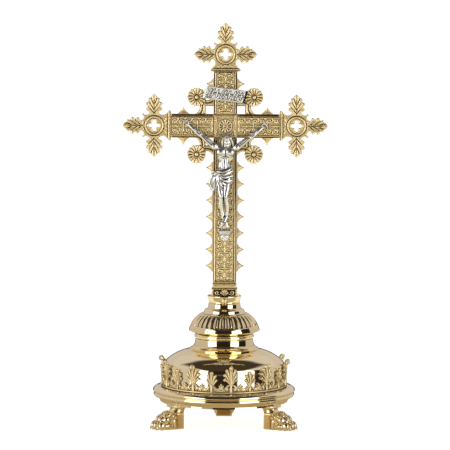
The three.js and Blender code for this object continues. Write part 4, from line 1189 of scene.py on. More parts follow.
rosette = {
    "offset": 43.0, "radius": 14.1, "petals": 14, "button": 3.1, "half": 3.0, "near": 29.6, "far": 38.4, "flare": 6.2,
        "step": 0.34,
}
rosetteSeat = beamHalf + 0.3


def petalWave(u, v):
    # Distance from the middle of the disc, and how far round a petal a point is: 0 in the crease, 1 on its crest.
    du, dv = u - rosette["offset"], v - rosette["offset"]
    return np.hypot(du, dv), np.abs(np.sin(np.arctan2(dv, du) * rosette["petals"] / 2))


def rosetteDisc(u, v):
    radius, petal = petalWave(u, v)
    return rosette["radius"] - 1.5 * (1 - petal**0.6) - radius


def barFar(v):
    # Outer edge of a bar, flaring where it meets the beam.
    return rosette["far"] + rosette["flare"] * np.clip((27.0 - v) / 9.0, 0, 1) ** 2


def rosetteBar(u, v):
    return np.minimum(np.minimum(u - rosette["near"], barFar(v) - u),
        np.minimum(v - rosetteSeat, rosette["offset"] - v))


rosetteEdge = lambda u, v: np.maximum.reduce([rosetteDisc(u, v), rosetteBar(u, v), rosetteBar(v, u)])


def rosetteFront(u, v, d):
    radius, petal = petalWave(u, v)
    share = np.clip((radius - 3.6) / (rosette["radius"] - 3.6), 0, 1)
    disc = 2.0 + 1.5 * petal**0.7 * np.clip(share * 3, 0, 1) + 0.9 * np.sin(share * math.pi * 0.75)
    button = 3.3 + 1.9 * np.sqrt(np.clip(1 - (radius / rosette["button"]) ** 2, 0, 1))
    disc = np.where(radius < rosette["button"], button, np.where(radius < 4.0, 2.1, disc))

    def barHeight(a, b):
        share = (a - rosette["near"]) / (barFar(b) - rosette["near"])
        first = np.sqrt(np.clip(1 - ((share - 0.27) / 0.21) ** 2, 0, 1))
        second = np.sqrt(np.clip(1 - ((share - 0.78) / 0.18) ** 2, 0, 1))
        return 0.7 + 2.1 * np.maximum(first, second)

    level = np.where(rosetteBar(u, v) > -0.2, barHeight(u, v), 0)
    upright = np.where(rosetteBar(v, u) > -0.2, barHeight(v, u), 0)
    bars = np.maximum(np.maximum(level, upright), 1.0)
    return np.where(rosetteDisc(u, v) > 0, disc, bars) + rounded(d, 0.7, 0.6)


def rosetteBack(u, v, d):
    return np.where(rosetteDisc(u, v) > 0, -rosette["half"], -2.1) - rounded(d, 0.7, 0.6)


points, faces = reliefSheet(rosetteEdge, rosetteFront, rosetteBack, (17.0, 17.0), (57.6, 57.6), rosette["step"])
u, v, w = points.T
disc, edge = rosetteDisc(u, v), np.maximum(rosetteEdge(u, v), 0)
crease = petalWave(u, v)[1] < 0.28
# painted shade along the bars' edges and where the bars meet the disc; darker in the creases between petals
paintedShadeAndPatina = np.where(disc > 0, 0.4 * crease, 0.7 * (edge < 1.3) + 0.6 * np.clip(1 - np.abs(disc + 0.5), 0, 1))
rosetteMesh = makeMesh("petalled_rosette", np.stack([u, -w, v], 1), faces, 55, 22, paintedShadeAndPatina)
for name, turn in (("upper_right", 0), ("lower_right", 90), ("lower_left", 180), ("upper_left", 270)):
    addPiece("petalled_rosette_" + name, rosetteMesh, "satinGold", ["rosette_" + name],
        placed(0, stemY, crossLevel, turn, "Y"))

# Crockets

crocket = {"height": 10.7, "wide": 8.4, "deep": 4.6, "rows": 34, "around": 40}


def crocketShell(height, lift=0.0):
    # A four-sided spike with hollow flanks, ridges at its corners and a small bud at the tip, pointing up.
    share = np.linspace(0, 1, crocket["rows"])
    spread = np.interp(share, [0, 0.06, 0.16, 0.38, 0.62, 0.82, 0.9, 0.96, 1],
        [0.96, 1.0, 0.84, 0.50, 0.27, 0.13, 0.13, 0.12, 0.02])
    turn = np.linspace(0, 2 * math.pi, crocket["around"], endpoint=False)
    power = 1.12
    radius = (np.abs(np.cos(turn)) ** power + np.abs(np.sin(turn)) ** power) ** (-1 / power)
    ringX, ringY = radius * np.cos(turn) * crocket["wide"], radius * np.sin(turn) * crocket["deep"]
    points = np.stack([spread[:, None] * ringX, spread[:, None] * ringY * (1 - 0.12 * share[:, None]),
        lift + share[:, None] * height + 0 * ringX], -1).reshape(-1, 3)
    points = np.vstack([points, [(0, 0, lift), (0, 0, lift + height)]])
    return points, cappedRings(crocket["rows"], crocket["around"])


def crocketShade(rise, height):
    # Painted shade: dark at the tip and along the foot.
    return 0.4 * np.clip((rise / height - 0.78) / 0.2, 0, 1) + 0.45 * (rise < 0.9)


points, faces = crocketShell(crocket["height"])
spikeMesh = makeMesh("single_crocket", points, faces, 40, 14, crocketShade(points[:, 2], crocket["height"]))
crockets = {  # which way each points, and the axis and end of its box that it stands on
    "top_crocket_left": (-90, 0, 1), "top_crocket_right": (90, 0, 0),
    "left_arm_crocket_upper": (0, 2, 0), "left_arm_crocket_lower": (180, 2, 1),
    "right_arm_crocket_upper": (0, 2, 0), "right_arm_crocket_lower": (180, 2, 1),
}
for name, (way, axis, end) in crockets.items():
    seat = middle(name)
    seat[1] = stemY
    seat[axis] = ends(name)[end][axis]
    addPiece("spiked_" + name, spikeMesh, "satinGold", [name], placed(*seat, way, "Y"))

rail = {"count": 7, "pitch": 24.7, "first": 63.0, "strip": 1.2, "half": 4.0}
for name, side in (("left_crocket_rail", -1), ("right_crocket_rail", 1)):
    low, high = ends(name)
    edge = high[0] if side < 0 else low[0]
    shells = []
    root = rail["strip"] - 0.4
    for i in range(rail["count"]):
        points, faces = crocketShell(crocket["height"] - root, root)
        z = crossLevel - rail["first"] - i * rail["pitch"]
        shells.append((np.stack([edge + side * points[:, 2], stemY + points[:, 1], z - side * points[:, 0]], 1), faces))
    bar = lambda u, v: np.minimum(rail["half"] - np.abs(u), np.minimum(v - low[2], high[2] - v))
    points, faces = reliefSheet(bar, lambda u, v, d: rail["strip"] + rounded(d, 0.5, 0.4), flatBack,
        (-rail["half"], low[2]), (rail["half"], high[2]), 0.8)
    shells.append((np.stack([edge + side * points[:, 2], stemY + points[:, 0], points[:, 1]], 1),
        faces if side > 0 else [block[:, ::-1] for block in faces]))
    points, faces = joinShells(shells)
    rise = side * (points[:, 0] - edge)
    # painted shade on the spikes; the strip under them darker
    paintedShadeAndPatina = np.where(rise > rail["strip"], crocketShade(rise, crocket["height"]), 0.3)
    addPiece("spiked_" + name, makeMesh("spiked_" + name, points, faces, 40, 14, paintedShadeAndPatina), "satinGold", [name])
print("rosettes and crockets done")

# Titulus: a waved scroll with engraved strokes, no lettering

titulus = {"width": 60.0, "height": 19.5, "thick": 1.5, "lean": 0.16, "wave": 1.1, "tilt": -7.0, "step": 0.34}
low, high = ends("titulus")
titulusSpot = (low + high) / 2
lozenges = (-12.2, 6.0, 24.2)
engraved = [([(x - 1.2, -5.6), (x + 1.2, 5.6)], (0.8, 0.8), (0.8, 0.8)) for start in (-23.4, -5.2,
    13.0) for x in (start, start + 4.4)]
engraved += [([(x, -4.6), (x, 0), (x, 4.6)], (0.9, 0.9), (0.9, 0.9)) for x in lozenges]
engraved += [([(x - 3.0, 0), (x + 3.0, 0)], (0.9, 0.9), (0.9, 0.9)) for x in lozenges]


def titulusEdge(u, v):
    return np.minimum(titulus["width"] / 2 - np.abs(u - 0.6 * np.cos(v * 0.5)),
        titulus["height"] / 2 - np.abs(v - 0.35 * np.sin(u * 0.16)))


def titulusFront(u, v, d):
    frameLine = 0.55 * np.sqrt(np.clip(1 - ((d - 1.3) / 0.9) ** 2, 0, 1))
    strokes = ridges(u, v, engraved)
    hammered = 0.12 * np.sin(u * 0.9 + 0.6 * np.sin(v)) * np.sin(v * 0.8)
    return titulus["thick"] / 2 - 0.35 + hammered + np.maximum(frameLine * (d < 2.3), strokes) + rounded(d, 0.5, 0.4)


points, faces = reliefSheet(titulusEdge, titulusFront, lambda u, v, d: -titulus["thick"] / 2 + 0 * u, (-31, -10.4),
    (31, 10.4), titulus["step"])
u, v, w = points.T
wave = titulus["wave"] * np.cos(u / titulus["width"] * 3 * math.pi)
waved = np.stack([u + titulus["lean"] * v, wave - w, v], 1)
rolls, steps, halfThick = [], 40, 0.45
for side, first, turned in ((-1, 2.3, 1.15), (1, 1.5, 0.7)):  # the ends roll over, the left one further
    turns = np.linspace(0, 1, steps)
    radius = first * (1 - 0.45 * turns)
    sweep = turns * 2 * math.pi * turned
    start = titulus["width"] / 2 * side
    hookX = start + side * radius * np.sin(sweep) * 0.8
    hookY = -0.2 - radius[0] + radius * np.cos(sweep)
    ribbon = []
    for thick in (halfThick, -halfThick):
        for z in (-titulus["height"] / 2 + 0.4, titulus["height"] / 2 - 0.4):
            x = hookX + thick * np.sin(sweep) * side + titulus["lean"] * z
            ribbon.append(np.stack([x, hookY + thick * np.cos(sweep), np.full(steps, z)], 1))
    lines = [np.arange(steps) + steps * k for k in (0, 1, 3, 2)]  # the four long edges, in order round the ribbon
    strips = [np.stack([p[:-1], p[1:], q[1:], q[:-1]], 1) for p, q in zip(lines, lines[1:] + lines[:1])]
    cap = lambda k: np.array([[line[k] for line in lines]])
    rolls.append((np.vstack(ribbon), [*strips, cap(0)[:, ::-1], cap(-1)]))
points, faces = joinShells([(waved, faces), *rolls])
tilt = math.radians(-titulus["tilt"])
spin = np.array([[math.cos(tilt), 0, math.sin(tilt)], [0, 1, 0], [-math.sin(tilt), 0, math.cos(tilt)]])
points = points @ spin.T + (titulusSpot[0], titulusSpot[1], titulusSpot[2])
outline = np.zeros(len(points))
inside = lambda more: np.maximum.reduce([ridge(u, v, line, wide[0] + more, 1)[1] for line, wide, _ in engraved])
outline[: len(u)] = 0.9 * ((inside(0.85) > 0) & (inside(0) < 0.05) & (w > 0))
addPiece("waved_titulus", makeMesh("waved_titulus", points, faces, 50, 10, outline), "softSilver", ["titulus"])

# Corpus. y counts forward from the panels, z from the middle of the crossing.

corpusLook = {"step": 0.38, "headSpot": (2.2, 10.4, -19.6), "headTilt": 7.0, "headBow": 20.0, "headScale": 1.36,
    "broad": (0.18, 26.0)}


def corpusBody(clay):
    add = lambda line, radii, soft=1.2, flat=1.0: press(clay, *cordForm(line, radii, flat), soft)
    ball = lambda centre, radii, soft=1.2: press(clay, *ballForm(centre, radii), soft)
    dig = lambda line, radii, soft=0.5: carve(clay, *cordForm(line, radii), soft)
    # trunk: ribcage, chest, waist and hips
    ball((0.4, 5.4, -42.0), (10.8, 5.6, 13.2), 1.5)
    add([(-12.5, 6.2, -31.5), (0, 6.4, -32.5), (13.2, 6.2, -32.6)], [4.4, 3.9, 4.4], 2.2)
    ball((-5.4, 9.4, -38.2), (5.6, 2.9, 4.8), 1.4)
    ball((6.2, 9.4, -38.8), (5.6, 2.9, 4.8), 1.4)
    ball((-1.0, 5.4, -58), (7.9, 4.4, 9.8), 1.8)
    add([(-2.9, 8.9, -50), (-3.4, 9.0, -62)], [2.0, 2.0], 1.2)
    add([(2.0, 8.9, -50), (1.2, 9.0, -62)], [2.0, 2.0], 1.2)
    ball((-2.0, 5.8, -70), (9.6, 5.6, 8.6), 1.6)
    # hollows of the trunk: breastbone, arch of the ribs, ribs, middle line and navel
    dig([(0.3, 13.5, -34.5), (0.3, 12.6, -43)], [0.8, 0.9], 1.2)
    dig([(0.1, 11.9, -43.6), (-4.0, 11.4, -47.4), (-7.6, 9.6, -54.0)], [1.0, 1.2, 1.0], 1.1)
    dig([(0.1, 11.9, -43.6), (4.2, 11.4, -47.8), (7.0, 9.6, -54.4)], [1.0, 1.2, 1.0], 1.1)
    dig([(-10.6, 9.6, -42.2), (-5.6, 12.2, -43.2), (-1.6, 12.0, -42.4)], [0.8, 0.8], 0.8)
    dig([(11.2, 9.6, -42.8), (6.2, 12.2, -43.8), (2.0, 12.0, -42.8)], [0.8, 0.8], 0.8)
    for k in range(3):
        z = -45.4 - 3.3 * k
        dig([(-11.4 + 0.6 * k, 6.8, z + 1.0), (-8.6 + 0.4 * k, 9.6, z), (-5.6 - 0.3 * k, 10.9, z + 1.0)], [0.5, 0.45],
            0.8)
        dig([(11.6 - 0.6 * k, 6.8, z + 0.5), (9.0 - 0.4 * k, 9.6, z - 0.5), (6.0 + 0.2 * k, 10.9, z + 0.5)],
            [0.5, 0.45], 0.8)
    dig([(-0.4, 11.2, -49.5), (-0.9, 11.0, -61.5)], [0.6, 0.5], 1.0)
    dig([(-0.9, 10.7, -60.4), (-0.9, 10.0, -60.8)], [0.9, 0.9], 0.4)
    for side, shoulder, elbow, wrist in (
        (-1, (-14.4, 6.4, -30.0), (-36.0, 5.8, -12.6), (-53.6, 3.6, 1.0)),
        (1, (15.2, 6.4, -31.6), (36.8, 5.8, -16.0), (53.8, 3.6, -3.0)),
    ):
        shoulder, elbow, wrist = map(np.array, (shoulder, elbow, wrist))
        ball(shoulder + (0.2 * side, 0.6, 0.2), (5.0, 4.8, 5.2), 1.8)
        upper = shoulder + (elbow - shoulder) * 0.5
        add([shoulder, upper + (0, 0.4, 0.3), elbow], [4.8, 4.5, 3.4], 1.6)
        fore = elbow + (wrist - elbow) * 0.32
        add([elbow, fore + (0, 0.2, -0.2), wrist], [3.4, 3.9, 2.3], 1.4)
        dig([shoulder + (3.4 * side, 5.6, 1.4), upper + (0, 5.3, -0.2), elbow + (-2 * side, 4.2, -0.6)], [0.95, 0.7],
            0.8)
        dig([elbow + (1.0 * side, 4.1, 0.3), fore + (2 * side, 4.4, 0.5), wrist + (-3 * side, 2.9, 0)], [0.75, 0.6],
            0.8)
        way = (wrist - elbow) / np.linalg.norm(wrist - elbow)
        palm = wrist + way * 4.6
        across = np.array([-way[2], 0, way[0]])
        add([wrist, palm + (0, 0.1, 0)], [1.8, 2.9], 0.8, 0.62)
        for k, spread in enumerate((-2.0, -0.7, 0.6, 1.9)):
            root = palm + way * 0.9 + across * spread
            knuckle = palm + way * 3.6 + across * spread * 1.3 + (0, 1.0, 0)
            tip = palm + way * 5.4 + across * spread * 1.25 + (0, 0.2 + 0.3 * (k % 2), 0)
            add([root, knuckle, tip], [0.72, 0.68, 0.58], 0.35)
        thumbSide = across * (2.0 if across[2] > 0 else -2.0)
        add([wrist + way * 2.4 + thumbSide * 0.7, palm + thumbSide * 1.6 + (0, 0.9, 0),
            palm + way * 1.8 + thumbSide * 1.8 + (0, 1.2, 0)], [1.0, 0.8, 0.65], 0.4)
    # legs: the right knee in front, the shins part a little and the feet cross on one nail
    add([(-7.4, 6.4, -76), (-6.8, 8.6, -90), (-4.6, 10.6, -104)], [5.8, 5.2, 3.7], 1.2)
    add([(3.4, 6.6, -76), (2.4, 9.4, -90), (0.4, 12.0, -104)], [5.6, 4.9, 3.7], 0.8)
    add([(-4.6, 10.4, -105), (-5.4, 8.0, -116), (-3.4, 5.4, -128), (-2.2, 4.8, -136)], [3.5, 3.4, 2.4, 2.2], 0.9)
    add([(0.4, 11.8, -105), (2.2, 9.4, -116), (2.8, 6.8, -127), (1.8, 6.2, -136)], [3.5, 3.5, 2.4, 2.2], 0.6)
    ball((-4.6, 13.0, -104.6), (2.2, 1.8, 2.5), 0.8)
    ball((0.6, 14.4, -104.6), (2.2, 1.8, 2.5), 0.8)
    dig([(-2.2, 15.2, -90), (-2.2, 15.0, -104), (-1.8, 13.0, -113), (-1.0, 9.8, -126)], [1.0, 0.9, 1.3, 0.9], 0.6)
    dig([(-9.6, 12.4, -88), (-8.6, 10.8, -101)], [0.8, 0.6], 0.9)
    dig([(3.4, 12.6, -107), (4.6, 9.8, -118)], [0.7, 0.5], 0.8)
    for ankle, sole, toeLine in (((-2.2, 5.2, -136), (1.4, 6.2, -146.0), (3.0, 5.6, -150.6)),
        ((1.8, 6.8, -136), (-2.4, 8.9, -145.6), (-4.2, 7.2, -150.4))):
        ankle, sole, toeLine = map(np.array, (ankle, sole, toeLine))
        add([ankle, sole, toeLine], [2.2, 2.8, 2.4], 0.6, 0.85)
        drift = np.array([1.0, 0, 0.18 * np.sign(toeLine[0])])
        for k in range(5):
            root = toeLine + drift * (k - 2) * 1.15 + (0, 0.6, 0.6)
            add([root, root + (0.3 * np.sign(toeLine[0]), 0.5, -2.6 + 0.25 * abs(k - 2))], [0.8, 0.68], 0.3)


def corpusCloth(clay):
    add = lambda line, radii, soft=0.5, flat=1.0: press(clay, *cordForm(smoothPath(line), radii, flat), soft)
    dig = lambda line, radii, soft=0.4: carve(clay, *cordForm(smoothPath(line), radii), soft)
    press(clay, *ballForm((-2.6, 6.2, -77), (11.0, 6.4, 11.6)), 0.9)
    # rolled top edge, gathered at the hip on the left
    add([(8.2, 8.6, -62.6), (3.8, 11.6, -65.6), (-3.6, 12.6, -68.0), (-11.6, 10.2, -67.6)], [1.6, 1.9, 1.7])
    add([(8.8, 8.0, -66.4), (4.6, 12.0, -70.2), (-2.6, 13.2, -72.2), (-11.6, 10.8, -70.0)], [1.3, 1.6, 1.5])
    dig([(8.8, 10.2, -64.6), (4.2, 13.6, -68.0), (-3.2, 14.6, -70.2), (-10.6, 12.4, -69.0)], [0.6, 0.7, 0.5])
    # folds fanning out from the knot, with deep valleys between
    folds = [((9.2, -66.4), 2.0, 1.5), ((9.6, -73.6), 3.4, 1.9), ((8.6, -81.0), 4.0, 1.6), ((5.4, -88.4), 3.6, 2.0),
        ((-0.8, -93.0), 2.4, 1.5)]
    for k, ((x, z), sag, thick) in enumerate(folds):
        start, stop = np.array((-10.2, 10.8, -70.6 - 1.3 * k)), np.array((x, 9.8, z))
        mean = (start + stop) / 2 + (0, 3.1, -sag)
        add([start, mean, stop], [1.0, thick, 1.2])
        valley = (0, 1.5, -2.9)
        dig([start + (2.6, 2.0, -1.2), mean + valley, stop + valley], [0.35, 0.7, 0.5])
    add([(-11.2, 9.8, -76), (-8.6, 11.6, -86), (-3.4, 12.8, -93.6), (3.4, 12.0, -93.0)], [1.6, 1.6, 1.3])
    # knot, its loop and the hanging tail
    press(clay, *ballForm((-12.6, 8.8, -71.6), (3.4, 3.2, 3.0)), 0.5)
    add([(-11.4, 11.2, -69.2), (-15.0, 11.0, -67.6), (-17.6, 8.2, -70.6), (-14.6, 8.2, -74.0)], [1.3, 1.5, 1.3])
    for k, (x, z) in enumerate(((-12.6, -92.4), (-15.6, -95.4), (-18.6, -93.4), (-20.9, -89.6), (-21.8, -84.8))):
        add([(-12.0 - 0.8 * k, 8.8 - 0.4 * k, -73.6 + 0.6 * k), (-13.0 - 1.5 * k, 8.0 - 0.5 * k, -81.6 + 1.2 * k),
            (x, 6.2 - 0.5 * k, z)], [1.7, 1.8, 2.0])
    for k in range(4):
        dig([(-13.0 - 0.9 * k, 10.6 - 0.6 * k, -76.0 + 0.8 * k), (-14.4 - 1.5 * k, 9.8 - 0.7 * k, -84.0 + 1.2 * k),
            (-14.4 - 2.1 * k, 8.0 - 0.6 * k, -94.4 + 1.9 * k)], [0.5, 0.75, 0.6])


def smoothPath(line):
    return smoothLine(line, 1.6)


def headTurn():
    tilt, bow = math.radians(corpusLook["headTilt"]), math.radians(corpusLook["headBow"])
    lean = np.array([[math.cos(tilt), 0, -math.sin(tilt)], [0, 1, 0], [math.sin(tilt), 0, math.cos(tilt)]])
    nod = np.array([[1, 0, 0], [0, math.cos(bow), math.sin(bow)], [0, -math.sin(bow), math.cos(bow)]])
    return lean @ nod


def corpusHead(clay):
    # Own frame: x across, y forward, z up, from the middle of the head; calm, regular features, eyes closed.
    turn, spot = headTurn(), np.array(corpusLook["headSpot"])
    large = corpusLook["headScale"]
    put = lambda p: turn @ np.array(p, float) * large + spot
    grown = lambda radii: [large * value for value in radii]
    ball = lambda centre, radii, soft=0.5: press(clay, *ballForm(put(centre), grown(radii), turn), soft)
    add = lambda line, radii, soft=0.35: press(clay, *cordForm([put(p) for p in smoothPath(line)], grown(radii)), soft)
    dig = lambda line, radii, soft=0.25: carve(clay, *cordForm([put(p) for p in line], grown(radii)), soft)
    press(clay, *cordForm([put((0, -1.0, -3)), (0.8, 6.6, -31.5)], [3.2, 3.8]), 1.0)
    ball((0, 0, 1.2), (4.0, 4.9, 4.9))
    ball((0, 1.9, -1.6), (3.1, 3.4, 4.3), 0.8)
    ball((0, 3.0, -4.9), (1.7, 1.7, 1.4), 0.8)
    add([(-2.0, 4.2, 1.0), (0, 4.9, 1.1), (2.0, 4.2, 1.0)], [0.55, 0.6, 0.55])
    add([(0, 4.9, 0.6), (0, 6.0, -1.5)], [0.4, 0.62])
    for side in (-1, 1):
        dig([(1.5 * side, 5.0, 0.05), (1.6 * side, 5.0, 0.0)], [0.72, 0.72], 0.4)
        ball((1.5 * side, 4.25, -0.1), (0.8, 0.5, 0.5), 0.2)
        ball((2.1 * side, 3.5, -1.7), (1.1, 1.0, 1.1), 0.7)
        dig([(0.9 * side, 5.0, -0.35), (2.2 * side, 4.5, -0.4)], [0.16, 0.16], 0.15)
    dig([(-0.9, 5.45, -2.95), (0, 5.65, -2.9), (0.9, 5.45, -2.95)], [0.2, 0.24, 0.2], 0.2)
    # moustache and short parted beard
    for side in (-1, 1):
        add([(0.2 * side, 5.4, -2.3), (1.3 * side, 5.0, -2.8), (1.9 * side, 4.3, -3.9)], [0.35, 0.4, 0.35])
        for k in range(4):
            x = 0.45 + 0.65 * k
            add([(x * side + 0.5 * side, 4.6 - 0.55 * k, -4.2 + 0.35 * k), (x * side, 4.9 - 0.5 * k, -5.8 + 0.2 * k),
                (x * side * 0.7, 4.4 - 0.5 * k, -7.4 + 0.5 * k)], [0.5, 0.55, 0.35])
    # hair in wavy locks from a middle parting to the shoulders
    for side in (-1, 1):
        for k in range(6):
            back = 0.9 * k
            sway = 0.55 * math.sin(1.3 * k + side)
            add([(0.35 * side, 2.6 - 1.2 * k, 5.4 - 0.12 * k * k), (3.1 * side, 3.2 - back, 3.6 - 0.1 * k),
                (4.3 * side, 2.5 - back, 0.2), (4.5 * side + sway, 2.7 - back, -3.4),
                (5.0 * side, 1.8 - back + sway, -6.6), (5.3 * side + sway, 1.2 - 0.6 * back, -9.6)],
                [0.6, 0.95, 0.95, 0.9, 0.85, 0.5])
    # twisted wreath
    for phase in (0, math.pi):
        line = []
        for t in np.linspace(0, 2 * math.pi, 49):
            wobble = phase + 7 * t
            radius = 1.0 + 0.055 * math.cos(wobble)
            line.append(((4.7 * math.sin(t)) * radius, 0.3 + 5.3 * math.cos(t) * radius, 3.1 + 0.62 * math.sin(wobble)))
        press(clay, *cordForm([put(p) for p in line], grown([0.62, 0.62])), 0.25)
    for t in np.linspace(-2.4, 2.4, 13):
        root = (4.9 * math.sin(t), 0.3 + 5.5 * math.cos(t), 3.2)
        lead = t + 0.25
        tip = (6.0 * math.sin(lead), 0.3 + 6.7 * math.cos(lead), 4.3)
        press(clay, *cordForm([put(root), put(tip)], grown([0.4, 0.14])), 0.15)


paintedShadeLines = [  # painted shade and painted reflection on the figure, seen from the front: dark in its hollows and along the middle of the arms and shins
    ([(-19.5, -28.6), (-28.0, -21.0), (-36.0, -13.6)], 1.1), ([(-39.0, -11.6), (-45.0, -6.8), (-51.0, -1.8)], 0.8),
    ([(20.5, -30.4), (29.0, -24.0), (37.0, -17.2)], 1.1), ([(40.0, -15.0), (46.0, -10.2), (52.0, -5.8)], 0.8),
    ([(0.8, -36.4), (0.6, -43.6)], 0.9), ([(1.6, -44.6), (6.8, -46.6), (12.4, -44.0)], 0.8),
        ([(-2.0, -44.8), (-7.6, -45.8), (-12.6, -43.6)], 0.7),
    ([(-14.6, -35.6), (-13.4, -47.0)], 1.0), ([(15.8, -36.6), (14.0, -48.0)], 1.0),
    ([(-11.0, -65.8), (-4.0, -66.4), (4.4, -63.4), (9.0, -60.6)], 0.8),
    ([(-14.4, -78.0), (-17.6, -88.0)], 0.7), ([(-11.6, -80.0), (-13.0, -92.0)], 0.7),
    ([(-2.6, -92.0), (-2.4, -104.0)], 1.0), ([(-1.6, -104.0), (-0.2, -112.0), (0.6, -124.0), (0.2, -136.0)], 1.9),
        ([(-12.2, -90.0), (-9.8, -105.0)], 1.3), ([(8.4, -91.0), (5.8, -106.0)], 1.3),
    ([(-6.6, -110.0), (-4.6, -126.0)], 0.5), ([(4.4, -110.0), (4.8, -124.0)], 0.5),
        ([(-0.8, -139.0), (-1.0, -147.0)], 0.8),
]

clay = newClay((-67, -1, -158), (67, 21, 13), corpusLook["step"])
corpusBody(clay)
corpusCloth(clay)
corpusHead(clay)
points, faces = skin(clay)
broad, fades = corpusLook["broad"]
across = points[:, 0] * (1 + broad * np.exp(-((points[:, 0] / fades) ** 2)))
paintedShadeAndPatina = np.zeros(len(points))
# painted shade and reflection lines, drawn on the widened front view
for line, wide in paintedShadeLines:
    paintedShadeAndPatina = np.maximum(paintedShadeAndPatina, np.clip(ridge(across, points[:, 2], smoothLine(line, 1.5), wide, 1.0)[1] / 0.5, 0, 1))
away = np.linalg.norm(points - corpusLook["headSpot"], axis=1)
headLightening = np.clip((15.0 - away) / 4.0, 0, 1)  # less darkening near the head, so the figure is lighter within about 15 mm of it
points = np.stack([across, panelFace - 0.35 - np.maximum(points[:, 1], 0), crossLevel + points[:, 2]], 1)
corpusMesh = makeMesh("cast_corpus", points, [block[:, ::-1] for block in faces], 70, 26, 0.3 * paintedShadeAndPatina - 0.12 * headLightening)
addPiece("cast_corpus", corpusMesh, "silverPlate", ["corpus"])
print("corpus:", len(corpusMesh.polygons), "faces")

# Footrest and skull

low, high = ends("footrest")
half = (high - low) / 2
restClay = newClay((-half[0] - 2, -half[1] - 2, -half[2] - 2), half + 2, 0.36)
press(restClay, *blockForm((-half[0], -half[1], half[2] - 2.6), (half[0], half[1], half[2]), 0.6), 0.3)
press(restClay, *blockForm((-half[0] + 0.8, -half[1] + 0.8, -half[2]), (half[0] - 0.8, half[1], half[2] - 1.6), 0.8),
    0.4)
for k in range(-2, 3):
    carve(restClay, *cordForm([(k * 2.6, -half[1] + 0.2, half[2] - 3.4), (k * 2.6, -half[1] + 0.2, -half[2] + 0.8)],
        [0.5, 0.5]), 0.3)
points, faces = skin(restClay)
addPiece("moulded_footrest", makeMesh("moulded_footrest", points + middle("footrest"), faces, 60, 6), "softSilver",
    ["footrest"])

low, high = ends("skull")
spot = middle("skull")
wide, deep, tall = (high - low) * (0.5, 1, 0.5)
skullClay = newClay((-wide - 2, -1, -tall - 2), (wide + 2, deep + 2, tall + 2), 0.3)
press(skullClay, *ballForm((0, deep * 0.30, tall * 0.28), (wide, deep * 0.66, tall * 0.72)), 0.8)
press(skullClay, *ballForm((0, deep * 0.42, -tall * 0.42), (wide * 0.52, deep * 0.42, tall * 0.52)), 1.0)
for side in (-1, 1):
    press(skullClay, *ballForm((side * wide * 0.52, deep * 0.56, -tall * 0.12), (wide * 0.2, deep * 0.2, tall * 0.16)),
        0.8)
    carve(skullClay, *ballForm((side * wide * 0.36, deep * 0.98, tall * 0.08), (wide * 0.22, deep * 0.34, tall * 0.2)),
        0.4)
carve(skullClay, *cordForm([(0, deep * 0.96, -tall * 0.1), (0, deep * 0.92, -tall * 0.26)], [0.4, 0.75]), 0.3)
for k in range(-2, 3):
    carve(skullClay, *cordForm([(k * 0.95, deep * 0.86, -tall * 0.52), (k * 0.95, deep * 0.84, -tall * 0.72)],
        [0.22, 0.22]), 0.2)
points, faces = skin(skullClay)
points = np.stack([spot[0] + points[:, 0], high[1] - np.maximum(points[:, 1], 0), spot[2] + points[:, 2]], 1)
addPiece("cast_skull", makeMesh("cast_skull", points, [block[:, ::-1] for block in faces], 70, 6), "softSilver",
    ["skull"])

# Paw feet. x counts outward from the stem, z from the floor.

pawShape = {"height": 36.5, "heelHalf": 12.4, "step": 0.55, "turns": (-60.0, 60.0, 180.0)}


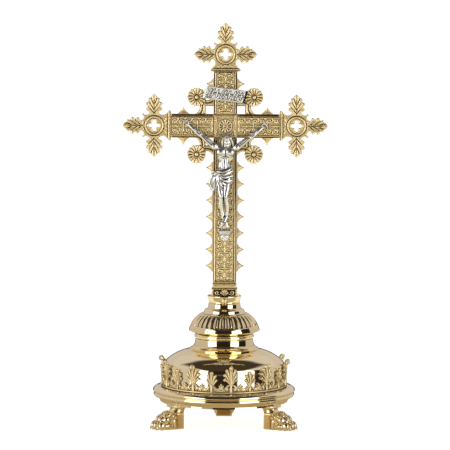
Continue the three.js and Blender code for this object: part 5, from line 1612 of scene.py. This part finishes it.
def pawClay():
    clay = newClay((60, -20, -2), (128, 20, 39), pawShape["step"])
    add = lambda line, radii, soft=1.2, flat=1.0: press(clay, *cordForm(line, radii, flat), soft)
    dig = lambda line, radii, soft=0.6: carve(clay, *cordForm(line, radii), soft)
    press(clay, *blockForm((68.2, -12.3, 31.6), (92.8, 12.3, pawShape["height"]), 1.4), 0.6)
    add([(80, 0, 33), (80.5, 0, 29), (83.5, 0, 22)], [12.4, 10.6, 11.4], 1.6)
    press(clay, *blockForm((75.5, -pawShape["heelHalf"], 0.1), (93, pawShape["heelHalf"], 24.6), 1.3), 0.5)
    press(clay, *blockForm((88, -13.6, 0.1), (108, 13.6, 16), 4.0), 2.0)
    press(clay, *ballForm((97, 0, 15.4), (11.5, 14.0, 10.4)), 1.6)
    for side in (-1.5, -0.5, 0.5, 1.5):
        y = side * 7.4
        low = y * 1.03
        back = 4.6 * (abs(side) > 1)  # the outer toes stand further back
        add([(94 - back, y * 0.8, 18.2), (104 - back, y * 0.94, 18.4), (109.6 - back, y, 15.6)], [4.6, 4.9, 5.4], 0.7)
        press(clay, *ballForm((110.4 - back, y, 14.4), (5.6, 4.6, 5.4)), 0.5)
        press(clay, *ballForm((117.2 - back, low, 6.6), (6.6, 4.7, 6.4)), 0.5)
        add([(121.0 - back, low, 5.4), (124.2 - back, low, 3.6), (124.6 - back, low, 1.6)], [1.7, 1.3, 0.7], 0.3)
        dig([(113.6 - back, y - 4.0, 11.6), (116.8 - back, y, 13.4), (113.6 - back, y + 4.0, 11.6)], [0.6, 0.6], 0.7)
    for side in (-1, 0, 1):
        dig([(104, side * 7.2, 22.6), (114, side * 7.4, 16.0), (119.6, side * 7.6, 9.0), (121.0, side * 7.6, 2.0)],
            [0.8, 1.5, 1.9, 1.7], 0.6)
    for side in (-1, 1):  # three tufts of fur on each side of the wrist
        for k in range(3):
            add([(90 + 2 * k, side * (12.4 - 1.6 * k), 24.4 + 0.6 * k),
                (95 + 2 * k, side * (13.4 - 2.2 * k), 21.0 + 1.6 * k),
                (99 + 2 * k, side * (13.2 - 2.4 * k), 17.4 + 2.4 * k)], [1.3, 1.7, 0.8], 0.6)
    for side in (-1, 1):
        dig([(94, side * 13.6, 1.0), (95, side * 14.4, 12), (93, side * 12.6, 24)], [1.3, 1.2], 0.7)
        add([(98, side * 12.2, 5), (104, side * 12.6, 6.6), (108, side * 12.0, 6)], [3.4, 3.8, 3.4], 0.8)
    window, (x, y, z) = within(clay, (50, -30, -5), (140, 30, 60))
    clay["field"][window] = np.maximum(clay["field"][window], np.maximum(0.05 - z, z - pawShape["height"]))
    return clay


points, faces = skin(pawClay())
x, y, z = points.T
flank = (np.abs(np.abs(y) - pawShape["heelHalf"]) < 0.5) & (x < 93)
heelReflectionTint = (flank | (x < 76.2)) & (z < 26)  # painted reflection: the flat faces of the block behind the paw take the hollow colour, deep gold as brass mirrored in brass
pawMesh = makeMesh("lion_paw", points, faces, 60, 20, 0.42 * heelReflectionTint)
for name, turn in zip(("foot_left", "foot_right", "foot_rear"), pawShape["turns"]):
    addPiece("lion_paw_" + name.split("_")[1], pawMesh, "castBrass", [name], placed(0, stemY, 0, turn - 90, "Z"))
print("paw:", len(pawMesh.polygons), "faces")

# Frame nodes that stay as they are

kept = {
    "polishedBrass": ["base_plate"],
    "satinGold": ["cross_body", "back_plate"],
    "silverPlate": ["titulus_pin_left", "titulus_pin_right", "nail_left_hand", "nail_right_hand", "nail_feet"],
    "brightSteel": ["foot_screw_left", "foot_screw_right", "foot_screw_rear", "tie_rod", "rod_washer", "rod_nut",
        "back_screw_top", "back_screw_left", "back_screw_right", "back_screw_bottom"],
}
for metal, names in kept.items():
    for name in names:
        nodes[name].data.materials.clear()
        nodes[name].data.materials.append(metals[metal])

# Floor, light and camera

studio = {
    # the gold tint and glow the floor shows in reflections: a painted reflection of brass
    "floor": 0.32, "glow": 0.80, "paper": (0.90, 0.92, 0.97), "mirroredBrassTint": (0.93, 0.80, 0.50), "mirroredBrassGlow": 0.10,
        "below": (0.98, 0.88, 0.60),
    "white": 3.0, "band": (0.05, 0.036, 0.025), "beige": (0.62, 0.55, 0.48), "ceiling": (0.66, 0.60, 0.53),
        "dark": (0.022, 0.015, 0.010),
    "camera": (0.0003, -4.5, 0.722), "pitch": 5.32, "roll": 0.3, "lens": 240.0,
}

floorMesh = bpy.data.meshes.new("floor")
reach, corners = studio["floor"], 96
rimTurns = np.linspace(0, 2 * math.pi, corners, endpoint=False)
floorMesh.from_pydata([(reach * math.cos(a), reach * math.sin(a), 0) for a in rimTurns], [], [tuple(range(corners))])
floor = bpy.data.objects.new("floor", floorMesh)
scene.collection.objects.link(floor)
paper = bpy.data.materials.new("palePaper")
paper.use_nodes = True
paperTree = paper.node_tree
paperShader = paperTree.nodes["Principled BSDF"]
white, mirroredBrassTint = (1, 1, 1, 1), (*studio["mirroredBrassTint"], 1)
looks = {"Base Color": (*studio["paper"], 1), "Roughness": 0.9, "Emission Color": white,
    "Emission Strength": studio["glow"]}
for socket, value in looks.items():
    paperShader.inputs[socket].default_value = value
# painted reflection: rays other than the camera's see the floor gold and glowing, in place of brass mirrored from the
# base and the other feet
glow = {"Emission_Color": mirroredBrassTint, "Emission_Strength": studio["mirroredBrassGlow"]}
reflectedFloorShader = addNode(paperTree, "ShaderNodeBsdfPrincipled", None, Base_Color=mirroredBrassTint, Roughness=0.6, **glow)
toCamera = addNode(paperTree, "ShaderNodeLightPath").outputs["Is Camera Ray"]
paperMix = addNode(paperTree, "ShaderNodeMixShader", None, n0=toCamera, n1=reflectedFloorShader.outputs[0],
    n2=paperShader.outputs[0])
paperTree.links.new(paperMix.outputs[0], paperTree.nodes["Material Output"].inputs["Surface"])
floorMesh.materials.append(paper)
floor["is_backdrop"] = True


def softboxWorld():
    # Two tall softboxes either side of a dark front, beige walls behind, a pale ceiling over a darker band.
    world = bpy.data.worlds.new("softboxRoom")
    scene.world = world
    world.use_nodes = True
    tree = world.node_tree
    tree.nodes.clear()
    direction = addNode(tree, "ShaderNodeTexCoord").outputs["Generated"]
    parts = addNode(tree, "ShaderNodeSeparateXYZ", None, n0=direction).outputs
    azimuth = math2(tree, "ARCTAN2", parts[0], math2(tree, "MULTIPLY", parts[1], -1.0))
    share = math2(tree, "ADD", math2(tree, "DIVIDE", azimuth, 2 * math.pi), 0.5)
    ramp = addNode(tree, "ShaderNodeValToRGB", None, n0=share)
    white = tuple(studio["white"] * k for k in (1.0, 0.985, 0.95))
    beige, dark = studio["beige"], studio["dark"]
    stops = [  # degrees round from the front, and the colour there
        (-180, beige), (-156, beige), (-68, beige), (-65, white), (-34, white), (-30, dark), (25, dark), (28, white),
            (58, white),
        (60, dark), (94, dark), (97, beige), (156, beige),
    ]
    elements = ramp.color_ramp.elements
    while len(elements) < len(stops):
        elements.new(1.0)
    for element, (degrees, colour) in zip(elements, stops):
        element.position = degrees / 360 + 0.5
        element.color = (*colour, 1.0)
    height = parts[2]
    # the dark of the front wall runs on over the ceiling between two pale sides
    aside = mapRange(tree, math2(tree, "ABSOLUTE", parts[0]), 0.50, 0.62)
    backward = mapRange(tree, parts[1], 0.40, 0.54)
    pale = math2(tree, "MAXIMUM", aside, backward)
    above = blendColour(tree, pale, (*studio["band"], 1), (*studio["ceiling"], 1))
    room = blendColour(tree, mapRange(tree, height, 0.44, 0.50), ramp.outputs[0], above)
    behind = mapRange(tree, math2(tree, "ABSOLUTE", azimuth), math.radians(157), math.radians(161))
    nearFloor = mapRange(tree, height, 0.10, 0.04)
    room = blendColour(tree, math2(tree, "MULTIPLY", behind, nearFloor), room, (*dark, 1))
    room = blendColour(tree, mapRange(tree, height, -0.16, -0.24), room, (*studio["below"], 1))
    lit = addNode(tree, "ShaderNodeBackground", None, Color=room)
    backdrop = addNode(tree, "ShaderNodeBackground", None, Color=(1, 1, 1, 1), Strength=1.1)
    seen = addNode(tree, "ShaderNodeLightPath").outputs["Is Camera Ray"]
    mixed = addNode(tree, "ShaderNodeMixShader", None, n0=seen, n1=lit.outputs[0], n2=backdrop.outputs[0])
    addNode(tree, "ShaderNodeOutputWorld", None, Surface=mixed.outputs[0])


softboxWorld()

lens = bpy.data.cameras.new("frontCamera")
lens.lens, lens.sensor_width = studio["lens"], 36.0
lens.clip_end = 200
camera = bpy.data.objects.new("frontCamera", lens)
scene.collection.objects.link(camera)
camera.location = (studio["camera"][0], stemY * millimetre + studio["camera"][1], studio["camera"][2])
camera.rotation_euler = (math.radians(90 - studio["pitch"]), 0, 0)
camera.rotation_euler.rotate_axis("Z", math.radians(studio["roll"]))
scene.camera = camera
scene.view_settings.view_transform = "Standard"
scene.view_settings.look = "None"

{"cad": [list(corner) for corner in cadBounds], "visual": [list(corner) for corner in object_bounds()]}
print("ready")
